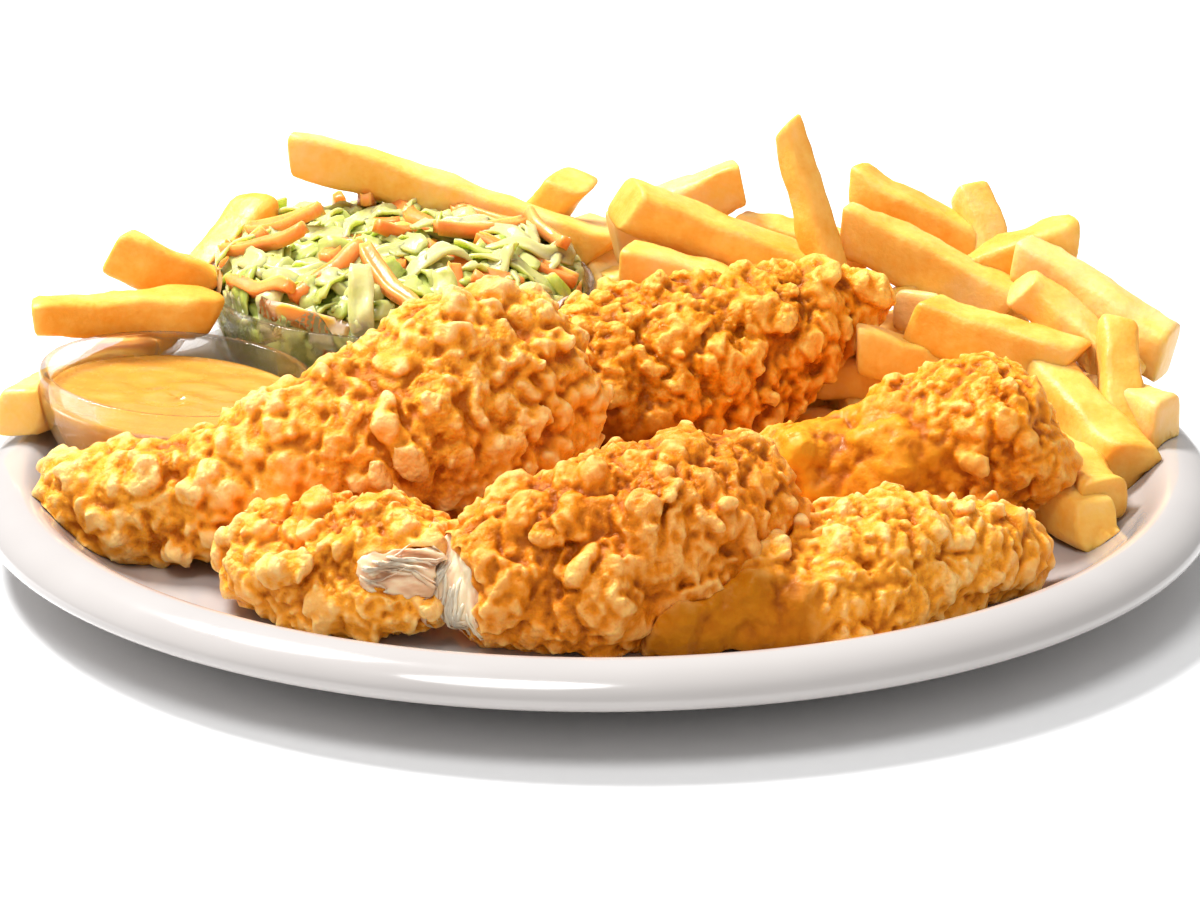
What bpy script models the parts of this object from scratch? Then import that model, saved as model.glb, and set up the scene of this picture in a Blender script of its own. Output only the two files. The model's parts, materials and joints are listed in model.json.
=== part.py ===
"""A plated meal: fried chicken tenders, one of them torn in two, with fries, coleslaw in a glass bowl
and a glass cup of yellow dip, on a round white plate. The plate stands on its foot ring at the origin,
+X is to the right and -Y towards the diner. Sizes are in millimetres, and MM turns them into metres."""

import math
import random

import bmesh
import bpy
from mathutils import Matrix, Vector, noise

MM = 0.001
GAP = 0.35
CLEARANCE = 0.8
CLEARANCE_VOXEL = 0.8
CLEARANCE_FACES = 2400

# Plate: the eating side and the underside, as (radius, height) from the middle outwards.
PLATE_TOP = ((0, 5.0), (106, 5.0), (114, 7.2), (121, 12.2), (126, 18.0), (129.4, 20.2))
PLATE_LIP = ((134.5, 19.6), (138.2, 17.4), (140, 14.4), (138.6, 11.8))
PLATE_UNDER = ((124, 7.4), (108, 1.6), (88, 0.0), (82, 0.0), (80, 1.5), (0, 1.5))
PLATE_SIDES = 48

# Glass bowls: middle of the foot on the plate, radius of the rim and of the foot, height and wall.
DIP_CUP = {"at": (-98, 8), "rim": 31.6, "foot": 17.0, "height": 28.0, "wall": 2.2, "sides": 28}
SLAW_BOWL = {"at": (-49, 72.5), "rim": 48.0, "foot": 24.0, "height": 33.0, "wall": 2.4, "sides": 32}
BOWL_BULGE = 2.4
WALL_RINGS = (0.82, 0.5, 0.26)
LOW_RING_OUTSIDE = 0.1
LOW_RING_INSIDE = 0.14
LOW_RING_FILLING = 0.165
FLOOR_TO_WALL = 1.3
DIP_BELOW_RIM = 5.6
SLAW_DOME = 13.0

# Crust: knobs on a tender are half sunk blobs, from the smallest to the largest radius.
KNOB_SMALL = 2.6
KNOB_LARGE = 5.6
KNOB_FLATNESS = 0.62
CRUST_THICKNESS = 3.0
TENDER_VOXEL = 1.2
TENDER_FACES = 620

# Tenders: the spine through the meat from left to right, half of the broad side and half of the
# thickness at its start, middle and end, the lean of the broad side from level, how square the ends
# are, and the number of knobs.
TENDERS = {
    "torn_tender_right": {
        "spine": ((-22, -83, 19), (4, -79, 24), (26, -69, 30)),
        "broad": (20, 20, 18), "thick": (13, 15, 14), "lean": 50, "blunt": 3.0, "knobs": 74, "seed": 31,
    },
    "torn_tender_left": {
        "spine": ((-69, -61, 16), (-52, -72, 17), (-34, -79, 18)),
        "broad": (12, 15, 14), "thick": (9, 11, 11), "lean": 25, "blunt": 3.4, "knobs": 46, "seed": 12,
    },
    "tender_front": {
        "spine": ((12, -86, 12), (52, -74, 15), (86, -56, 15)),
        "broad": (13, 16, 14), "thick": (9, 12, 12), "lean": 28, "blunt": 3.0, "knobs": 62, "seed": 23,
    },
    "tender_long": {
        "spine": ((-112, -31, 15), (-64, -34, 26), (-20, -12, 36)),
        "broad": (13, 16, 30), "thick": (10, 14, 18), "lean": 66, "blunt": 4.6, "knobs": 96, "seed": 44,
    },
    "tender_right": {
        "spine": ((49, -15, 16), (66, -15, 17), (83, -15, 25)),
        "broad": (15, 16, 22), "thick": (15, 18, 18), "lean": 50, "blunt": 4.2, "knobs": 60, "seed": 55,
    },
    "tender_back": {
        "spine": ((-8, 8, 27), (27, 24, 32), (60, 42, 42)),
        "broad": (25, 22, 10), "thick": (14, 14, 7), "lean": 60, "blunt": 3.0, "knobs": 72, "seed": 66,
    },
}
# The crust is open over the meat here: middle and half sizes of the ellipsoid that is torn away.
TEARS = {
    "torn_tender_left": ((-37, -97, 20), (14, 13, 8)),
    "torn_tender_right": ((-48, -95, 14), (24, 26, 30)),
}

# Fries: tip, tail and thickness of each one that shows, then rules for those that fill the heap.
FRIES_RIGHT = (
    ((45, 64, 79), (57, 50, 36), 8.5),
    ((35, 82, 61), (4, 80, 46), 12.5),
    ((6, 62, 60), (60, 56, 41), 12.5),
    ((64, 88, 58), (110, 76, 36), 12.0),
    ((60, 64, 54), (98, 52, 36), 12.5),
    ((92, 86, 58), (99, 66, 28), 10.0),
    ((113, 62, 50), (74, 58, 35), 12.5),
    ((102, 56, 49), (134, 33, 31), 12.5),
    ((76, 38, 38), (110, 24, 32), 12.5),
    ((76, 50, 37), (84, 88, 24), 11.0),
    ((121, -8, 15), (100, 34, 31), 13.5),
    ((110, -33, 12), (88, 10, 13), 13.0),
    ((130, 3, 24), (112, 42, 22), 11.0),
    ((121, 28, 38), (123, 4, 15), 11.0),
    ((100, 44, 45), (123, 26, 28), 10.0),
    ((-74, 96, 65), (2, 98, 38), 12.0),
    ((-6, 108, 55), (-27, 117, 27), 10.0),
    ((7, 47, 50), (52, 46, 37), 11.0),
    ((33, 80, 50), (64, 72, 43), 11.0),
    ((-6, 112, 38), (42, 100, 35), 12.0),
    ((52, 44, 25), (86, 36, 22), 13.0),
    ((112, -26, 15), (108, 22, 15), 12.0),
    ((-28, 118, 22), (26, 108, 21), 13.0),
    ((-4, 106, 38), (14, 84, 18), 12.5),
    ((40, 110, 34), (2, 92, 30), 12.0),
)
FRIES_MIDDLE = (
    ((-12, -44, 12), (50, -36, 12), 12.5),
    ((24, -56, 12), (8, -2, 14), 12.0),
    ((46, -52, 12), (34, 2, 13), 12.5),
    ((-14, -26, 13), (46, -6, 14), 12.0),
    ((14, -50, 17), (56, -40, 15), 11.5),
)
FRIES_LEFT = (
    ((-116, 61, 49), (-90, 68, 35), 12.5),
    ((-132, 31, 41), (-94, 50, 37), 11.5),
    ((-122, 58, 39), (-104, 40, 33), 12.0),
    ((-132, 2, 27), (-112, 48, 24), 13.0),
    ((-86, 101, 47), (-112, 66, 24), 11.0),
)
HEAP_RIGHT = {"start": 8, "end": 98, "ring": 88, "radius": 24, "height": 17, "fill": 6, "seed": 7}
HEAP_LEFT = {"start": 140, "end": 172, "ring": 118, "radius": 13, "height": 20, "fill": 3, "seed": 9}
HEAP_MIDDLE = {"start": 255, "end": 350, "ring": 34, "radius": 8, "height": 7, "fill": 0, "seed": 3}
CORE_STEPS = 5
CORE_SECTION = ((-1, 0), (-0.85, 0.55), (-0.35, 0.95), (0.35, 0.95), (0.85, 0.55), (1, 0))
FRY_SIDE_FLAT = 0.78
FRY_BEND = 1.8

# Coleslaw: strips of cabbage and carrot on a core.
SHREDS = 24
CARROT_EVERY = 4
CABBAGE = {"length": (20, 34), "width": (4.0, 7.0), "thick": 1.6}
CARROT = {"length": (18, 27), "width": (3.2, 4.0), "thick": 2.6}
SLAW_SEED = 5
SLAW_SIDES = 24


def clear_scene():
    for old in list(bpy.data.objects):
        bpy.data.objects.remove(old, do_unlink=True)


def collection(name):
    made = bpy.data.collections.new(name)
    bpy.context.scene.collection.children.link(made)
    return made


def material(name, colour, roughness, alpha=1.0):
    made = bpy.data.materials.new(name)
    made.use_nodes = True
    shader = made.node_tree.nodes["Principled BSDF"]
    shader.inputs["Base Color"].default_value = (*colour, 1.0)
    shader.inputs["Roughness"].default_value = roughness
    shader.inputs["Metallic"].default_value = 0.0
    shader.inputs["Alpha"].default_value = alpha
    return made


def add_object(name, mesh, where, finish=None):
    made = bpy.data.objects.new(name, mesh)
    where.objects.link(made)
    if finish:
        made.data.materials.clear()
        made.data.materials.append(finish)
    return made


def as_helper(obj):
    obj.hide_render = True
    obj.display_type = "WIRE"
    return obj


def from_bmesh(name, shape, where, finish=None):
    """A new object from a bmesh that is drawn in millimetres."""
    bmesh.ops.scale(shape, vec=(MM, MM, MM), verts=shape.verts)
    mesh = bpy.data.meshes.new(name)
    shape.to_mesh(mesh)
    shape.free()
    return add_object(name, mesh, where, finish)


def apply_modifiers(obj):
    bpy.context.view_layer.update()
    graph = bpy.context.evaluated_depsgraph_get()
    mesh = bpy.data.meshes.new_from_object(obj.evaluated_get(graph))
    obj.modifiers.clear()
    obj.data = mesh


def boolean(obj, other, operation, solver="EXACT"):
    """Joins another object to this one, or cuts it away. The other may be a collection."""
    step = obj.modifiers.new(operation.lower(), "BOOLEAN")
    step.operation = operation
    step.solver = solver
    if isinstance(other, bpy.types.Collection):
        step.operand_type = "COLLECTION"
        step.collection = other
    else:
        step.object = other
    apply_modifiers(obj)


def keep_largest_piece(obj):
    """Drops the loose scraps that a cut has left."""
    shape = bmesh.new()
    shape.from_mesh(obj.data)
    left = set(shape.verts)
    pieces = []
    while left:
        piece, edge = set(), [left.pop()]
        while edge:
            vert = edge.pop()
            piece.add(vert)
            near = [link.other_vert(vert) for link in vert.link_edges]
            edge += [other for other in near if other in left]
            left.difference_update(near)
        pieces.append(piece)
    largest = max(pieces, key=len)
    scraps = [vert for piece in pieces if piece is not largest for vert in piece]
    bmesh.ops.delete(shape, geom=scraps, context="VERTS")
    shape.to_mesh(obj.data)
    shape.free()


def decimate(obj, faces):
    step = obj.modifiers.new("fewer_faces", "DECIMATE")
    step.ratio = min(1.0, faces / max(1, len(obj.data.polygons) * 2))
    step.use_collapse_triangulate = True
    apply_modifiers(obj)


def voxel_join(obj, size):
    step = obj.modifiers.new("fuse", "REMESH")
    step.mode = "VOXEL"
    step.voxel_size = size * MM
    apply_modifiers(obj)


def swollen(obj, helpers, by=CLEARANCE):
    """A copy of a finished solid that stands proud of it all round, to cut its neighbours with."""
    copy = as_helper(add_object(obj.name + "_clearance", obj.data.copy(), helpers))
    copy.matrix_world = obj.matrix_world
    step = copy.modifiers.new("swell", "DISPLACE")
    step.strength = by * MM
    step.mid_level = 0.0
    apply_modifiers(copy)
    voxel_join(copy, CLEARANCE_VOXEL)
    decimate(copy, CLEARANCE_FACES)
    return copy


def turned(name, profile, sides, where, finish=None):
    """A solid of revolution whose profile runs from the top of the axis down its outer side."""
    mesh = bpy.data.meshes.new(name)
    points = [(radius * MM, 0, height * MM) for radius, height in profile]
    mesh.from_pydata(points, [(i, i + 1) for i in range(len(points) - 1)], [])
    made = add_object(name, mesh, where, finish)
    screw = made.modifiers.new("turn", "SCREW")
    screw.axis = "Z"
    screw.steps = screw.render_steps = sides
    screw.use_merge_vertices = True
    screw.merge_threshold = 0.00001
    apply_modifiers(made)
    made.data.shade_smooth()
    made.data.set_sharp_from_angle(angle=math.radians(40))
    return made


def plate_height(radius):
    """Height of the plate's eating side at a distance from its middle."""
    outline = PLATE_TOP + PLATE_LIP
    for (inner, low), (outer, high) in zip(outline, outline[1:]):
        if inner <= radius <= outer:
            return low + (high - low) * (radius - inner) / (outer - inner)
    return outline[-1][1]


def make_plate(parts, glaze):
    return turned("plate", PLATE_TOP + PLATE_LIP + PLATE_UNDER, PLATE_SIDES, parts, glaze)


def plate_clearance(helpers):
    """The plate and the space under it, raised by the gap, to trim what lies on the plate."""
    outline = [(radius, height + GAP) for radius, height in PLATE_TOP + PLATE_LIP[:2]]
    far, below = 2 * outline[-1][0], -10.0
    outline += [(far, outline[-1][1]), (far, below), (0, below)]
    return as_helper(turned("plate_clearance", outline, PLATE_SIDES, helpers))


def seat(bowl):
    """Where a bowl stands: its outer foot edge rides up the plate's curved wall, so it tips inwards."""
    x, y = bowl["at"]
    reach = math.hypot(x, y)
    outer = plate_height(reach + bowl["foot"]) + GAP
    inner = plate_height(max(0.0, reach - bowl["foot"])) + GAP
    tip = math.atan2(outer - inner, 2 * bowl["foot"])
    axis = Vector((y, -x, 0)).normalized()
    place = Matrix.Translation(Vector((x, y, (outer + inner) / 2)) * MM)
    return place @ Matrix.Rotation(tip, 4, axis)


def bowl_radius(bowl, share, inset=0.0):
    """Radius of a bowl at a share of its height, pulled in by the inset."""
    flare = 1 - (1 - share) ** BOWL_BULGE
    return bowl["foot"] + (bowl["rim"] - bowl["foot"]) * flare - inset


def bowl_outline(bowl):
    """The bowl's half section: inside floor, inner wall, rounded rim, outer wall and foot."""
    height, wall = bowl["height"], bowl["wall"]
    outside = WALL_RINGS + (LOW_RING_OUTSIDE, 0.0)
    outer = [(bowl_radius(bowl, share), share * height) for share in outside]
    inside = WALL_RINGS + (LOW_RING_INSIDE,)
    inner = [(bowl_radius(bowl, share, wall), share * height) for share in inside]
    bead = [(bowl["rim"] - wall * 0.55, height), (bowl["rim"], height - wall * 0.5)]
    return [(0, wall * FLOOR_TO_WALL)] + inner[::-1] + bead + outer + [(0, 0)]


def make_bowl(name, bowl, parts, glass):
    outline = bowl_outline(bowl)
    made = turned(name, outline, bowl["sides"], parts, glass)
    made.matrix_world = seat(bowl)
    return made


def bowl_envelope(name, bowl, helpers):
    """The bowl with all that it holds up to its rim, to keep the food beside it out."""
    height = bowl["height"]
    spare = 2 * GAP
    outline = [(0, height + spare), (bowl["rim"] + spare, height + spare)]
    outline.append((bowl["rim"] + spare, height - bowl["wall"]))
    for share in WALL_RINGS + (LOW_RING_OUTSIDE, 0.0):
        outline.append((bowl_radius(bowl, share) + spare, share * height))
    outline.append((bowl["foot"] + spare, -GAP))
    outline.append((0, -GAP))
    made = as_helper(turned(name + "_envelope", outline, bowl["sides"], helpers))
    made.matrix_world = seat(bowl)
    return made


def filling_outline(bowl, shares):
    """The sides and underside of what fills a bowl, a gap clear of the glass."""
    inset = bowl["wall"] + GAP
    rings = shares + (LOW_RING_FILLING,)
    outline = [(bowl_radius(bowl, share, inset), share * bowl["height"]) for share in rings]
    return outline + [(0, bowl["wall"] * FLOOR_TO_WALL + GAP)]


def make_dip(parts, sauce):
    """The sauce up to its level, a gap clear of the glass, with a shallow dimple where it was spooned."""
    cup = DIP_CUP
    inset = cup["wall"] + GAP
    level = cup["height"] - DIP_BELOW_RIM
    top = level / cup["height"]
    outline = [(0, level - 0.7), (bowl_radius(cup, top, inset) * 0.55, level - 0.2)]
    outline.append((bowl_radius(cup, top, inset), level))
    outline += filling_outline(cup, WALL_RINGS[1:])
    made = turned("dip", outline, cup["sides"], parts, sauce)
    made.matrix_world = seat(cup)
    return made


def spine_point(spec, along):
    """Point on the tender's spine, a curve through its three points."""
    start, middle, end = (Vector(point) for point in spec["spine"])
    pull = middle * 2 - (start + end) / 2
    return start * (1 - along) ** 2 + pull * 2 * along * (1 - along) + end * along**2


def between(values, along):
    start, middle, end = values
    if along < 0.5:
        return start + (middle - start) * along * 2
    return middle + (end - middle) * (along - 0.5) * 2


def section_axes(spec, along):
    """The tender's own directions: along it, across its broad side, and through its thickness."""
    ahead = (spine_point(spec, along + 0.01) - spine_point(spec, along - 0.01)).normalized()
    level = Vector((0, 0, 1)).cross(ahead).normalized()
    lean = math.radians(spec["lean"])
    upright = ahead.cross(level).normalized()
    broad = level * math.cos(lean) + upright * math.sin(lean)
    return ahead, broad, ahead.cross(broad)


def tender_point(spec, lengthways, turn, inset=0.0):
    """Point on the tender's skin: lengthways runs from -1 to 1, turn is the angle round the spine."""
    along = (lengthways + 1) / 2
    ahead, broad, through = section_axes(spec, along)
    girth = (1 - min(1.0, abs(lengthways)) ** spec["blunt"]) ** (1 / spec["blunt"])
    wide = max(0.5, between(spec["broad"], along) - inset) * girth
    deep = max(0.5, between(spec["thick"], along) - inset) * girth
    middle = spine_point(spec, along)
    # The spine's ends are the middles of the round ends, so the tips reach past them.
    past_end = between(spec["thick"], along) * lengthways * abs(lengthways) ** 3
    point = middle + ahead * past_end
    point += broad * math.cos(turn) * wide + through * math.sin(turn) * deep
    lump = noise.noise(point * 0.045 + Vector((spec["seed"], 0, 0))) * 3.2
    return point + (point - middle).normalized() * lump * girth


def tender_skin(spec, shape, inset=0.0):
    """Adds the smooth tender to a bmesh: a sphere drawn out along the spine."""
    made = bmesh.ops.create_uvsphere(shape, u_segments=28, v_segments=22, radius=1.0)
    for vert in made["verts"]:
        lengthways = max(-1.0, min(1.0, vert.co.z))
        vert.co = tender_point(spec, lengthways, math.atan2(vert.co.y, vert.co.x), inset)
    if shape.calc_volume(signed=True) < 0:
        bmesh.ops.reverse_faces(shape, faces=shape.faces)


def add_knob(shape, centre, outward, size, draw):
    """Adds one blob of batter: a ball pressed flat against the skin and drawn out one way."""
    made = bmesh.ops.create_icosphere(shape, subdivisions=2, radius=1.0)
    turn = outward.to_track_quat("Z", "Y").to_matrix().to_4x4()
    spin = Matrix.Rotation(draw.uniform(0, math.tau), 4, "Z")
    stretch = Matrix.Diagonal((size * draw.uniform(0.9, 1.7), size, size * KNOB_FLATNESS, 1.0))
    place = Matrix.Translation(centre) @ turn @ spin @ stretch
    bmesh.ops.transform(shape, matrix=place, verts=made["verts"])


def add_knobs(spec, shape):
    """Scatters the crust's larger blobs over the tender, thicker in some bands than in others."""
    draw = random.Random(spec["seed"])
    placed = 0
    while placed < spec["knobs"]:
        lengthways = draw.uniform(-0.97, 0.97)
        turn = draw.uniform(0, math.tau)
        skin = tender_point(spec, lengthways, turn)
        patch = noise.noise(skin * 0.06 + Vector((0, spec["seed"], 0)))
        if patch < draw.uniform(-0.45, 0.1):
            continue
        middle = spine_point(spec, (lengthways + 1) / 2)
        outward = (skin - middle).normalized()
        size = KNOB_SMALL + (KNOB_LARGE - KNOB_SMALL) * draw.random() ** 1.6
        add_knob(shape, skin - outward * size * 0.15, outward, size, draw)
        placed += 1


def tear_open(name, tender, helpers):
    """Cuts the crust away over the tear and shows the meat, which stands in under it."""
    middle, half_sizes = TEARS[name]
    window = bmesh.new()
    bmesh.ops.create_icosphere(window, subdivisions=3, radius=1.0)
    for vert in window.verts:
        ragged = 1 + 0.16 * noise.noise(vert.co * 2.4 + Vector((TENDERS[name]["seed"], 0, 0)))
        vert.co = Vector(a * b for a, b in zip(vert.co * ragged, half_sizes)) + Vector(middle)
    boolean(tender, as_helper(from_bmesh(name + "_tear", window, helpers)), "DIFFERENCE")
    meat = bmesh.new()
    tender_skin(TENDERS[name], meat, inset=CRUST_THICKNESS)
    boolean(tender, as_helper(from_bmesh(name + "_meat", meat, helpers)), "UNION")
    voxel_join(tender, TENDER_VOXEL)


def make_tender(name, cutters, parts, helpers, crust):
    """One tender: skin and knobs fused, torn where it is torn, then trimmed by what it rests on."""
    shape = bmesh.new()
    tender_skin(TENDERS[name], shape)
    add_knobs(TENDERS[name], shape)
    made = from_bmesh(name, shape, parts, crust)
    voxel_join(made, TENDER_VOXEL)
    if name in TEARS:
        tear_open(name, made, helpers)
    decimate(made, TENDER_FACES)
    for cutter in cutters:
        boolean(made, cutter, "DIFFERENCE")
        keep_largest_piece(made)
    made.data.shade_smooth()
    return made


def fry(tip, tail, thick, bend):
    """One cut potato stick between two points: a square bar with its edges taken off, bowed a little."""
    tip, tail = Vector(tip), Vector(tail)
    length = (tail - tip).length
    shape = bmesh.new()
    bmesh.ops.create_cube(shape, size=1.0)
    bmesh.ops.scale(shape, vec=(thick, thick, length), verts=shape.verts)
    long_edges = [e for e in shape.edges if abs(e.verts[0].co.z - e.verts[1].co.z) > length / 2]
    offset = thick * (1 - FRY_SIDE_FLAT) / 2
    bmesh.ops.bevel(shape, geom=long_edges, offset=offset, segments=1, affect="EDGES")
    everything = shape.verts[:] + shape.edges[:] + shape.faces[:]
    bmesh.ops.bisect_plane(shape, geom=everything, plane_co=(0, 0, 0), plane_no=(0, 0, 1))
    for vert in shape.verts:
        vert.co.x += bend * (1 - (2 * vert.co.z / length) ** 2)
    turn = (tip - tail).to_track_quat("Z", "Y").to_matrix().to_4x4()
    shape.transform(Matrix.Translation((tip + tail) / 2) @ turn)
    return shape


def heap_point(heap, share, across):
    """Point over a heap, which lies along an arc of the plate. Across runs from inside to outside."""
    angle = math.radians(heap["start"] + (heap["end"] - heap["start"]) * share)
    ring = heap["ring"] + across * heap["radius"]
    height = heap["height"] * math.sqrt(max(0.0, 1 - across**2))
    return Vector((ring * math.cos(angle), ring * math.sin(angle), plate_height(ring) + height))


def filling_fries(heap):
    """Tip, tail and thickness of the fries that fill a heap, lying over its core at all angles."""
    draw = random.Random(heap["seed"])
    made = []
    for number in range(heap["fill"]):
        share = (number + draw.random()) / heap["fill"]
        middle = heap_point(heap, share, draw.uniform(-0.5, 0.8)) + Vector((0, 0, 4))
        heading = draw.uniform(0, math.tau)
        half = draw.uniform(19, 31)
        slope = draw.uniform(-0.35, 0.35)
        ahead = Vector((math.cos(heading), math.sin(heading), slope)) * half
        made.append((middle + ahead, middle - ahead, draw.uniform(10.5, 13)))
    return made


def stays_clear(tip, tail, thick):
    """Whether a fry keeps clear of both bowls and inside the plate's edge."""
    for step in range(9):
        point = Vector(tip).lerp(Vector(tail), step / 8)
        if math.hypot(point.x, point.y) > PLATE_LIP[2][0] - thick / 2:
            return False
        for bowl in (DIP_CUP, SLAW_BOWL):
            away = (point.xy - Vector(bowl["at"])).length
            if point.z < bowl["height"] + 10 + thick / 2 and away < bowl["rim"] + thick / 2:
                return False
    return True


def heap_core(heap):
    """The low mound under a heap: half rounds along the arc, which sink below the plate's surface."""
    shape = bmesh.new()
    rings = []
    for step in range(CORE_STEPS + 1):
        share = step / CORE_STEPS
        swell = math.sqrt(max(0.05, 1 - (2 * share - 1) ** 4))
        ring = []
        for across, up in CORE_SECTION:
            point = heap_point(heap, share, across * 0.8 * swell)
            floor = plate_height(min(PLATE_LIP[1][0], math.hypot(point.x, point.y)))
            point.z = floor - 2.5 + (heap["height"] + 2.5) * swell * up
            ring.append(shape.verts.new(point))
        rings.append(ring)
    for first, second in zip(rings, rings[1:]):
        for side in range(len(CORE_SECTION)):
            after = (side + 1) % len(CORE_SECTION)
            shape.faces.new((first[side], first[after], second[after], second[side]))
    shape.faces.new(rings[0])
    shape.faces.new(rings[-1])
    bmesh.ops.recalc_face_normals(shape, faces=shape.faces)
    bmesh.ops.triangulate(shape, faces=shape.faces)
    return shape


def make_fries(name, heap, listed, cutters, parts, helpers, potato):
    """A heap: a low core along the plate's edge, with all the fries that show fused on."""
    made = from_bmesh(name, heap_core(heap), parts, potato)
    sticks = collection(name + "_sticks")
    draw = random.Random(heap["seed"] + 1)
    everything = list(listed) + [one for one in filling_fries(heap) if stays_clear(*one)]
    for number, (tip, tail, thick) in enumerate(everything):
        stick = fry(tip, tail, thick, draw.uniform(-FRY_BEND, FRY_BEND))
        as_helper(from_bmesh(f"{name}_stick_{number}", stick, sticks))
    boolean(made, sticks, "UNION", solver="MANIFOLD")
    for stick in list(sticks.objects):
        bpy.data.objects.remove(stick, do_unlink=True)
    for cutter in cutters:
        boolean(made, cutter, "DIFFERENCE", solver="MANIFOLD")
    keep_largest_piece(made)
    return made


def add_shred(shape, place, kind, draw):
    """Adds one strip of vegetable, curled over its length and narrowing to its ends."""
    length = draw.uniform(*kind["length"])
    width = draw.uniform(*kind["width"])
    made = bmesh.ops.create_grid(shape, x_segments=5, y_segments=1, size=0.5)
    top = made["verts"]
    lower = bmesh.ops.duplicate(shape, geom=list({f for v in top for f in v.link_faces}))["geom"]
    under = [item for item in lower if isinstance(item, bmesh.types.BMVert)]
    bmesh.ops.translate(shape, vec=(0, 0, -kind["thick"]), verts=under)
    borders = [e for v in top + under for e in v.link_edges if e.is_boundary]
    bmesh.ops.bridge_loops(shape, edges=list(set(borders)))
    curl = draw.uniform(-0.05, 0.03) if kind is CABBAGE else draw.uniform(-0.012, 0.012)
    for vert in top + under:
        along = vert.co.x * length
        taper = 1 - 0.5 * abs(vert.co.x * 2) ** 3
        vert.co.x = along
        vert.co.y *= width * taper
        vert.co.z += curl * along**2 * 0.35 + math.sin(vert.co.x * 0.5) * 0.5
    bmesh.ops.transform(shape, matrix=place, verts=top + under)


def dome_height(bowl, away):
    """Height of the coleslaw's core over the bowl's foot, at a distance from the bowl's axis."""
    inside = bowl_radius(bowl, 0.95, bowl["wall"] + GAP)
    return bowl["height"] - 2.5 + SLAW_DOME * (1 - (away / inside) ** 4)


def shred_places(bowl, draw):
    """Where the strips lie, in the bowl's own frame: spread evenly over the dome, turned at random."""
    golden = math.pi * (3 - math.sqrt(5))
    for number in range(SHREDS):
        away = (bowl["rim"] - 11) * math.sqrt((number + 0.5) / SHREDS)
        angle = number * golden
        x, y = away * math.cos(angle), away * math.sin(angle)
        slope = -2 * SLAW_DOME * away / (bowl["rim"] ** 2)
        outward = Vector((-slope * math.cos(angle), -slope * math.sin(angle), 1)).normalized()
        turn = outward.to_track_quat("Z", "Y").to_matrix().to_4x4()
        spin = Matrix.Rotation(draw.uniform(0, math.tau), 4, "Z")
        tip = Matrix.Rotation(draw.uniform(-0.35, 0.35), 4, "Y")
        lift = dome_height(bowl, away) + draw.uniform(-0.3, 1.2)
        yield Matrix.Translation((x, y, lift)) @ turn @ spin @ tip


def make_slaw(bowl_object, parts, helpers, cabbage):
    """The coleslaw: a core that fills the bowl and domes over it, with the strips that show fused on."""
    bowl = SLAW_BOWL
    inset = bowl["wall"] + GAP
    outline = [(0, dome_height(bowl, 0))]
    for share in (0.35, 0.65, 0.88):
        away = bowl_radius(bowl, 0.95, inset) * share
        outline.append((away, dome_height(bowl, away)))
    outline += filling_outline(bowl, WALL_RINGS)
    made = turned("slaw", outline, SLAW_SIDES, parts, cabbage)
    draw = random.Random(SLAW_SEED)
    strips = collection("slaw_strips")
    for number, place in enumerate(shred_places(bowl, draw)):
        shape = bmesh.new()
        add_shred(shape, place, CARROT if number % CARROT_EVERY == 1 else CABBAGE, draw)
        bmesh.ops.recalc_face_normals(shape, faces=shape.faces)
        as_helper(from_bmesh(f"slaw_strip_{number}", shape, strips))
    boolean(made, strips, "UNION", solver="MANIFOLD")
    for strip in list(strips.objects):
        bpy.data.objects.remove(strip, do_unlink=True)
    made.matrix_world = bowl_object.matrix_world.copy()
    bpy.context.view_layer.update()
    boolean(made, swollen(bowl_object, helpers), "DIFFERENCE", solver="MANIFOLD")
    keep_largest_piece(made)
    return made


def main():
    clear_scene()
    parts = collection("tenders_plate")
    helpers = collection("cutters")
    glaze = material("white_glaze", (0.86, 0.85, 0.84), 0.15)
    glass = material("clear_glass", (0.95, 0.97, 0.96), 0.03, alpha=0.35)
    sauce = material("yellow_dip", (0.87, 0.60, 0.12), 0.25)
    crust = material("fried_crust", (0.80, 0.42, 0.10), 0.45)
    potato = material("fried_potato", (0.88, 0.60, 0.20), 0.45)
    cabbage = material("coleslaw", (0.72, 0.80, 0.45), 0.4)

    make_plate(parts, glaze)
    on_plate = plate_clearance(helpers)
    make_bowl("dip_cup", DIP_CUP, parts, glass)
    slaw_bowl = make_bowl("slaw_bowl", SLAW_BOWL, parts, glass)
    make_dip(parts, sauce)
    slaw = make_slaw(slaw_bowl, parts, helpers, cabbage)
    cup_envelope = bowl_envelope("dip_cup", DIP_CUP, helpers)
    bowl_envelope_solid = bowl_envelope("slaw_bowl", SLAW_BOWL, helpers)

    # Each tender is trimmed by the ones that press into it, so those come first.
    trimmed_by = [on_plate, cup_envelope, bowl_envelope_solid]
    for name in TENDERS:
        made = make_tender(name, trimmed_by, parts, helpers, crust)
        trimmed_by.append(swollen(made, helpers))

    trimmed_by.append(swollen(slaw, helpers))
    heaps = (
        ("fries_right", HEAP_RIGHT, FRIES_RIGHT),
        ("fries_left", HEAP_LEFT, FRIES_LEFT),
        ("fries_middle", HEAP_MIDDLE, FRIES_MIDDLE),
    )
    for name, heap, listed in heaps:
        made = make_fries(name, heap, listed, trimmed_by, parts, helpers, potato)
        trimmed_by.append(swollen(made, helpers))


main()
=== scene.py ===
import json
import math
import random

import bmesh
import bpy
import numpy as np
from mathutils import Matrix, Vector, noise
from mathutils.bvhtree import BVHTree

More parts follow.
